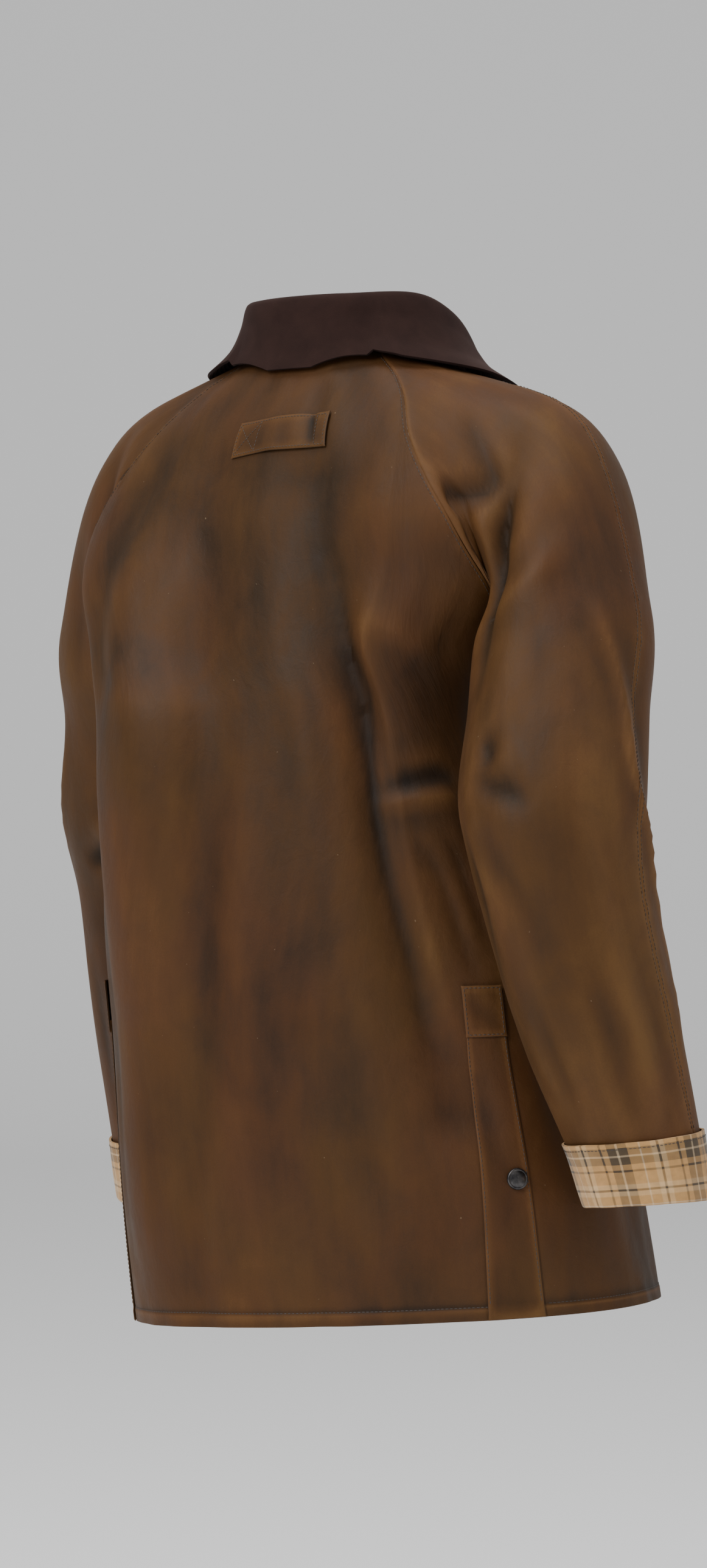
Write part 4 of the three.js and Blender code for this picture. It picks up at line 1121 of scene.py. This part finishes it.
made = {}
angle, height = back_grid()
angle = turned(angle, height)
made["back"] = shell("back_cloth", body_cloth(angle, height), (WAXED, WAXED_INSIDE))
for side, sign, rise in (("right", 1, 0), ("left", -1, FLY["rise"])):
    angle, height = front_grid(sign)
    name = f"front_{side}"
    made[name] = shell(f"{name}_cloth", front_cloth(angle, height, rise), (WAXED, WAXED_INSIDE), flip=sign)
for side, sleeve in (("right", right_sleeve), ("left", left_sleeve)):
    for face in ("back", "front"):
        turns, marks = sleeve.half(face == "front")
        name = f"sleeve_{side}_{face}"
        made[name] = shell(f"{name}_cloth", sleeve.cloth(turns, marks), (WAXED, WAXED_INSIDE), flip=-sleeve.sign)

# The turned-back sleeve ends
CUFF = {"height": 50, "clear": 1.1, "cloth": 1.8, "columns": 132}


def cuff_grid(sleeve):
    turns = np.arange(CUFF["columns"]) * 360 / CUFF["columns"]
    rows = np.concatenate([np.linspace(0, 3, 6), np.linspace(4.5, CUFF["height"] - 4, 20),
                           CUFF["height"] - np.array([2.6, 1.6, 0.8, 0.2, 0])])
    mark = sleeve.length - CUFF["height"] + rows[:, None]
    place = sleeve.plain(turns, mark)
    out = sleeve.plain_out(turns, mark)
    waves = np.sin(np.radians(turns) * 3 + 0.7) + 0.6 * np.sin(np.radians(turns) * 5 + 2.1)
    flare = 0.5 * waves * (1 - rows[:, None] / CUFF["height"]) + 0.35 * np.sin(np.radians(turns) * 9 + rows[:, None] / 11)
    rolled = -1.2 * (1 - np.sqrt(np.clip(1 - ((rows - CUFF["height"] + 2.6) / 2.6).clip(0) ** 2, 0, 1)))
    lift = CUFF["clear"] + CUFF["cloth"] + flare + rolled[:, None]
    around = np.linalg.norm(np.diff(place, axis=1, append=place[:, :1]), axis=-1)[12]
    u = np.concatenate([[0], np.cumsum(around)[:-1]])
    uv = np.stack(np.broadcast_arrays(u[None], rows[:, None]), -1)
    return place + out * lift[..., None], uv


for side, sleeve in (("right", right_sleeve), ("left", left_sleeve)):
    points, uv = cuff_grid(sleeve)
    name = f"cuff_{side}"
    made[name] = shell(f"{name}_cloth", points, (CHECK, WAXED_INSIDE), closed=True, flip=-sleeve.sign,
                       thickness=CUFF["cloth"], uv=uv)

# The collar, with its wales
collar_angle, collar_run, collar_points = collar_grid()
phase = 2 * math.pi * (collar_run[:, None] + 0.25 * np.sin(collar_angle / 9)) / WALE["pitch"]
crest = 0.5 + 0.5 * np.cos(phase)
end = smooth_step(0, 1.2, collar_run[-1] - collar_run)[:, None] * smooth_step(0, 1.5, collar_run)[:, None]
wale_and_groove_shade = np.sqrt(crest) * end
uv = np.stack(np.broadcast_arrays(collar_angle[None] * 1.5, collar_run[:, None]), -1)
made["collar"] = shell("collar_cloth", collar_points, (CORD, CORD), thickness=COLLAR["thick"] - 0.6, uv=uv,
                       lift=WALE["height"] * (wale_and_groove_shade - 0.6) + 0.3)
# The wale height is also stored as a colour attribute, for painted shade in the grooves.
values = np.concatenate([wale_and_groove_shade.ravel(), np.full(wale_and_groove_shade.size, 0.4)])
attribute = made["collar"].data.attributes.new("wale_and_groove_shade", "FLOAT", "POINT")
attribute.data.foreach_set("value", values.astype(np.float32))

# Trim that lies on the body
STRIP = {"hem_span": 12.5, "top_span": 9, "edge": 0.4, "top": -480}
TAB = {"span": 9.2, "top": -451, "bottom": -489}
LABEL = {"width": 84, "height": 25, "angle": 6.8, "middle": -51.5, "tilt": 3, "rise": 1.2, "per_degree": 3.07}


def rounded(share, size, edge=1.1):
    """A soft fall to the edge of a flat piece, from its share across and its size."""
    near = np.minimum(share, 1 - share) * size
    return 0.5 * (1 - smooth_step(0, edge, near))


def patch(name, where, size, lift, thickness):
    """A flat piece on the body. where gives angle, height and rise from shares across and up."""
    width, length = size
    u = denser_ends(width, 2.2, (0, 0.4, 1.0, 1.8), (0, 0.4, 1.0, 1.8)) / width
    v = (denser_ends(length, 2.6, (0, 0.4, 1.0, 1.8), (0, 0.4, 1.0, 1.8)) / length)[:, None]
    angle, height, rise = where(u, v)
    angle = turned(angle, height)
    out = body_out(angle, height)
    soft = np.maximum(rounded(u, width), rounded(v, length))
    points = body_cloth(angle, height) + out * (lift + thickness + rise - soft)[..., None]
    return points


def strip_where(sign):
    def where(u, v):
        height = mix(HEM, STRIP["top"], v) + 0 * u
        outer = side_angle(height) - STRIP["edge"]
        span = mix(STRIP["hem_span"], STRIP["top_span"], v)
        share = u if sign > 0 else 1 - u
        dent = 0.35 * np.sin(height / 17 + 3 * share) * np.sin(math.pi * share)
        return sign * (outer - span * (1 - share)), height, dent
    return where


def tab_where(sign):
    def where(u, v):
        height = mix(TAB["bottom"], TAB["top"], v) + 0 * u
        share = u if sign > 0 else 1 - u
        dent = 0.5 * np.sin(math.pi * share) * np.sin(math.pi * v) * np.sin(height / 6 + 4 * share)
        return sign * (side_angle(height) - STRIP["edge"] - TAB["span"] * (1 - share)), height, dent
    return where


def label_where(u, v):
    across = (u - 0.5) * LABEL["width"]
    up = (v - 0.5) * LABEL["height"] + across * math.tan(math.radians(LABEL["tilt"]))
    arch = 1.6 * smooth_step(0.3, 0.5, u) * smooth_step(0.97, 0.75, u)
    folded = 0.9 * smooth_step(0.865, 0.88, u)
    return LABEL["angle"] + across / LABEL["per_degree"], LABEL["middle"] + up, arch + folded


for side, sign in (("right", 1), ("left", -1)):
    points = patch("strip", strip_where(sign), (36, 218), LAY_GAP, 1.0)
    made[f"vent_strip_{side}"] = shell(f"vent_strip_{side}_cloth", points, (WAXED, WAXED_INSIDE), thickness=1.0)
    points = patch("tab", tab_where(sign), (27, 38), LAY_GAP + 1.5, 1.0)
    made[f"vent_tab_{side}"] = shell(f"vent_tab_{side}_cloth", points, (WAXED, WAXED_INSIDE), thickness=1.0)
points = patch("label", label_where, (LABEL["width"], LABEL["height"]), LAY_GAP, 1.0)
made["label_loop"] = shell("label_loop_cloth", points, (WAXED, WAXED_INSIDE), thickness=1.0)

for name, piece in made.items():
    finish_piece(piece, (name,))

# Studs
STUD = {"radius": 7.8, "height": 3.2}
STUD_PROFILE = np.array([
    (0.0, 0.0), (0.93, 0.0), (0.985, 0.08), (1.0, 0.28), (0.985, 0.52), (0.94, 0.70), (0.88, 0.79), (0.82, 0.80),
    (0.79, 0.74), (0.76, 0.74), (0.70, 0.82), (0.55, 0.92), (0.35, 0.98), (0.15, 1.0), (0.0, 1.0),
])


def stud(name, centre, out):
    """A domed cap with a rim, seated on the cloth."""
    sides = 40
    side = unit(np.cross(out, (0, 0, 1.0)))
    up = np.cross(side, out)
    turns = np.arange(sides) * 2 * math.pi / sides
    ring = np.cos(turns)[:, None] * side + np.sin(turns)[:, None] * up
    inner = STUD_PROFILE[1:-1]
    points = [centre + out * STUD_PROFILE[0, 1]]
    for radius, tall in inner:
        points.extend(centre + ring * radius * STUD["radius"] + out * tall * STUD["height"])
    points.append(centre + out * STUD["height"])
    j = np.arange(sides)
    after = (j + 1) % sides
    quads = [np.stack([1 + k * sides + j, 1 + k * sides + after, 1 + (k + 1) * sides + after,
                       1 + (k + 1) * sides + j], -1) for k in range(len(inner) - 1)]
    last = 1 + (len(inner) - 1) * sides
    top = len(points) - 1
    caps = np.concatenate([np.stack([0 * j, 1 + after, 1 + j], -1), np.stack([0 * j + top, last + j, last + after], -1)])
    return make_mesh(name, np.array(points), [np.concatenate(quads), caps], (METAL,))


strip_lift = LAY_GAP + 1.2 + 0.4
vent_stud_height = -594.0
vent_stud_angle = float(side_angle(vent_stud_height)) - 3.4
stud_places = {
    "stud_vent_right": (vent_stud_angle, vent_stud_height, strip_lift),
    "stud_vent_left": (-vent_stud_angle, vent_stud_height, strip_lift),
}
for k in range(5):
    stud_places[f"stud_front_{k + 1}"] = (180.0, -92.0 - 116 * k, FLY["rise"] + 0.4)
for name, (angle, height, lift) in stud_places.items():
    height = np.array([height])
    angle = turned(angle, height)
    out = outward(body, angle, height, low=HEM, high=NECK)[0]
    piece = stud(f"{name}_cap", body(angle, height)[0] + out * lift, out)
    finish_piece(piece, (name,))

# Stitches
STITCH_SHAPE = np.array([(-0.5, 0.35), (-0.3, 0.9), (0, 1.1), (0.3, 0.9), (0.5, 0.35)])


def resampled(points, step):
    """Points a step apart along a line, and the way along it at each."""
    lengths = np.concatenate([[0], np.cumsum(np.linalg.norm(np.diff(points, axis=0), axis=1))])
    count = max(int(lengths[-1] / step), 1)
    at = (np.arange(count) + 0.5) * lengths[-1] / count
    return np.array([np.interp(at, lengths, np.arange(len(points)))])[0]


def stitches(name, lines, pitch=3.2, size=2.5, radius=0.3):
    """Rows of thread stitches. Each line is (points, outs) with outs the way out of the cloth."""
    all_points = []
    all_faces = []
    sides = 5
    turns = np.arange(sides) * 2 * math.pi / sides
    base = 0
    for points, outs in lines:
        at = resampled(points, pitch)
        whole = np.arange(len(points))
        middle = np.stack([np.interp(at, whole, points[:, k]) for k in range(3)], -1)
        out = unit(np.stack([np.interp(at, whole, outs[:, k]) for k in range(3)], -1))
        ahead = np.stack([np.interp(np.minimum(at + 0.4, whole[-1]), whole, points[:, k]) for k in range(3)], -1)
        behind = np.stack([np.interp(np.maximum(at - 0.4, 0), whole, points[:, k]) for k in range(3)], -1)
        way = unit(ahead - behind)
        side = unit(np.cross(out, way))
        rings = []
        for place, girth in STITCH_SHAPE:
            sink = -0.9 * radius * (1 - girth)
            for turn in turns:
                rings.append(middle + way * place * size + out * (sink + radius * girth * 0.8 * math.cos(turn))
                             + side * radius * girth * math.sin(turn))
        rings = np.stack(rings, 1)
        count = len(at)
        block = len(STITCH_SHAPE) * sides
        faces = []
        for k in range(len(STITCH_SHAPE) - 1):
            for j in range(sides):
                after = (j + 1) % sides
                faces.append((k * sides + j, k * sides + after, (k + 1) * sides + after, (k + 1) * sides + j))
        faces = np.array(faces)
        offsets = base + np.arange(count)[:, None, None] * block
        all_faces.append((faces[None] + offsets).reshape(-1, 4))
        caps = np.array([list(range(sides))[::-1], [block - sides + j for j in range(sides)]])
        all_faces.append((caps[None] + offsets).reshape(-1, sides))
        all_points.append(rings.reshape(-1, 3))
        base += count * block
    quads = np.concatenate([f for f in all_faces if f.shape[1] == 4])
    ends = np.concatenate([f for f in all_faces if f.shape[1] == sides])
    piece = make_mesh(name, np.concatenate(all_points), [quads, ends], (THREAD,))
    return finish_piece(piece)


def joined(rows):
    """Rows of number lists, broadcast in each row and put end to end, and where each row ends."""
    rows = [np.broadcast_arrays(*(np.asarray(values, float) for values in row)) for row in rows]
    ends = np.cumsum([len(row[0]) for row in rows])[:-1]
    return [np.concatenate(values) for values in zip(*rows)], ends


def body_lines(rows, lift=0.15):
    (angles, heights), ends = joined(rows)
    angles = turned(angles, heights)
    out = body_out(angles, heights)
    points = body_cloth(angles, heights) + out * lift
    return list(zip(np.split(points, ends), np.split(out, ends)))


def sleeve_lines(sleeve, rows, lift=0.15):
    (turns, marks), ends = joined(rows)
    out = sleeve.out_at(turns, marks)
    points = sleeve.cloth(turns, marks) + out * lift
    return list(zip(np.split(points, ends), np.split(out, ends)))


def patch_lines(where, size, rows, lift, thickness):
    """Lines on a flat piece, from millimetres across and up it."""
    (across, up), ends = joined(rows)
    angle, height, rise = where(across / size[0], up / size[1])
    angle = turned(angle, height)
    out = body_out(angle, height)
    points = body_cloth(angle, height) + out * (lift + thickness + rise + 0.12)[..., None]
    return list(zip(np.split(points, ends), np.split(out, ends)))


seam_lines = []
steps = np.linspace(0.25, LAST_STEP - 0.4, 260)
seam_angles, seam_heights = raglan(steps)
back_of_neck = steps < UNDERARM_STEP
inner = np.where(back_of_neck, -1, 1)
slant = np.gradient(seam_angles) * ANGLE_MM
drop = np.gradient(seam_heights)
size = np.hypot(slant, drop)
for sign in (1, -1):
    offset = 2.4
    side_u = seam_angles * ANGLE_MM + offset * drop / size
    side_v = seam_heights - offset * slant / size
    seam_lines.append((sign * side_u / ANGLE_MM, side_v))
stitches("raglan_stitches", body_lines(seam_lines))

stitches("hem_stitches", body_lines([
    (np.linspace(-62.8, 62.8, 300), HEM + HEM_DEPTH),
    (np.linspace(64.2, 171, 300), HEM + HEM_DEPTH),
    (-np.linspace(64.2, 166, 300), HEM + HEM_DEPTH),
]))

over_arm = []
for sleeve in (right_sleeve, left_sleeve):
    marks = np.linspace(34, sleeve.length - CUFF["height"] - 3, 300)
    over_arm.extend(sleeve_lines(sleeve, [(-2.2, marks), (2.2, marks)]))
stitches("sleeve_stitches", over_arm)

vent_lines = []
for sign in (1, -1):
    where = strip_where(sign)
    heights = np.linspace(12, 216, 120)
    far, near = (1.6, 34.2) if sign > 0 else (34.4, 1.8)
    vent_lines.extend(patch_lines(where, (36, 218), [(far, heights), (near, heights)], LAY_GAP, 1.0))
    where = tab_where(sign)
    low, high, left, right = 1.8, 36.2, 1.8, 25.2
    vent_lines.extend(patch_lines(where, (27, 38), [
        (np.linspace(left, right, 20), low), (np.linspace(left, right, 20), high),
        (left, np.linspace(low, high, 24)), (right, np.linspace(low, high, 24)),
    ], LAY_GAP + 1.5, 1.0))
stitches("vent_stitches", vent_lines)

label_size = (LABEL["width"], LABEL["height"])
label_lines = patch_lines(label_where, label_size, [
    (np.linspace(2, LABEL["width"] - 2, 60), 2.0), (np.linspace(2, LABEL["width"] - 2, 60), LABEL["height"] - 2.0),
    (2.0, np.linspace(2, 23, 20)), (23.0, np.linspace(2, 23, 20)),
    (np.linspace(3, 22, 24), np.linspace(3, 22, 24)), (np.linspace(3, 22, 24), np.linspace(22, 3, 24)),
    (74.4, np.linspace(2, 23, 20)), (82.0, np.linspace(2, 23, 20)),
], LAY_GAP, 1.0)
stitches("label_stitches", label_lines, 2.6, 2.0, 0.26)

cuff_lines = []
for sleeve in (right_sleeve, left_sleeve):
    turns = np.linspace(0, 360, 200)
    mark = sleeve.length - CUFF["height"] + 4.2
    waves = np.sin(np.radians(turns) * 3 + 0.7) + 0.6 * np.sin(np.radians(turns) * 5 + 2.1)
    flare = 0.5 * waves * (1 - 4.2 / CUFF["height"]) + 0.35 * np.sin(np.radians(turns) * 9 + 4.2 / 11)
    out = sleeve.plain_out(turns, np.full_like(turns, mark))
    place = sleeve.plain(turns, np.full_like(turns, mark))
    cuff_lines.append((place + out * (CUFF["clear"] + CUFF["cloth"] + 0.12 + flare)[:, None], out))
stitches("cuff_stitches", cuff_lines)

front_lines = []
for edge_angle in (-185.6, -172.4):
    heights = np.linspace(HEM + 12, NECK - 26, 300)
    angles = np.full_like(heights, edge_angle)
    out = body_out(turned(angles, heights), heights)
    front_lines.append((front_cloth(angles, heights, FLY["rise"]) + out * 0.15, out))
stitches("front_stitches", front_lines)

# Stage, light and camera
VIEW = math.radians(30)
RIGHT = np.array([-math.cos(VIEW), -math.sin(VIEW), 0])
TOWARDS = np.array([-math.sin(VIEW), math.cos(VIEW), 0])
CAMERA = {"distance": 3300, "height": -306, "lens": 101.46, "sensor": 36, "aim": -6.8}
FLOOR_HEIGHT = -1180

camera_data = bpy.data.cameras.new("camera")
camera_data.sensor_fit = "VERTICAL"
camera_data.sensor_height = CAMERA["sensor"]
camera_data.lens = CAMERA["lens"]
camera = bpy.data.objects.new("camera", camera_data)
place = TOWARDS * CAMERA["distance"] + RIGHT * CAMERA["aim"]
camera.location = (place[0] * MM, place[1] * MM, CAMERA["height"] * MM)
camera.rotation_euler = (math.radians(90), 0, math.pi + VIEW)
bpy.context.scene.collection.objects.link(camera)
bpy.context.scene.camera = camera

def backdrop():
    """A pale floor that curves up into a wall behind the jacket."""
    half, front, back, bend, top = 6000, 3600, 7000, 1400, 5200
    line = [(front, FLOOR_HEIGHT), (-back, FLOOR_HEIGHT)]
    for k in range(1, 17):
        turn = math.radians(90 * k / 16)
        line.append((-back - bend * math.sin(turn), FLOOR_HEIGHT + bend * (1 - math.cos(turn))))
    line.append((-back - bend, FLOOR_HEIGHT + top))
    points = []
    for towards, up in line:
        for across in (-half, half):
            spot = TOWARDS * towards + RIGHT * across
            points.append((spot[0], spot[1], up))
    faces = [(2 * k, 2 * k + 1, 2 * k + 3, 2 * k + 2) for k in range(len(line) - 1)]
    look, _, shader = new_material("pale_floor")
    shader.inputs["Base Color"].default_value = (0.88, 0.88, 0.88, 1)
    shader.inputs["Roughness"].default_value = 0.9
    return make_mesh("floor", np.array(points), [faces], (look,))


backdrop()

world = bpy.data.worlds.new("studio")
world.use_nodes = True
world.node_tree.nodes["Background"].inputs["Color"].default_value = (1, 1, 1, 1)
world.node_tree.nodes["Background"].inputs["Strength"].default_value = 0.55
bpy.context.scene.world = world


def area_light(name, right, towards, up, size, power, colour=(1, 1, 1)):
    """A soft light, placed in metres from the jacket's middle as the camera sees it."""
    data = bpy.data.lights.new(name, "AREA")
    data.shape = "RECTANGLE"
    data.size, data.size_y = size
    data.energy = power
    data.color = colour
    light = bpy.data.objects.new(name, data)
    where = RIGHT * right + TOWARDS * towards + np.array([0, 0, up])
    target = np.array([0, 0, CAMERA["height"] * MM])
    light.location = where
    way = target - where
    flat = math.hypot(way[0], way[1])
    light.rotation_euler = (math.atan2(flat, -way[2]), 0, math.atan2(way[1], way[0]) - math.pi / 2)
    bpy.context.scene.collection.objects.link(light)


area_light("key", -2.0, 2.6, 1.6, (1.4, 2.0), 120)
area_light("fill", 2.8, 2.0, 0.4, (1.6, 2.4), 30)
area_light("wall", 0.0, 0.6, 3.4, (5.0, 1.6), 150)
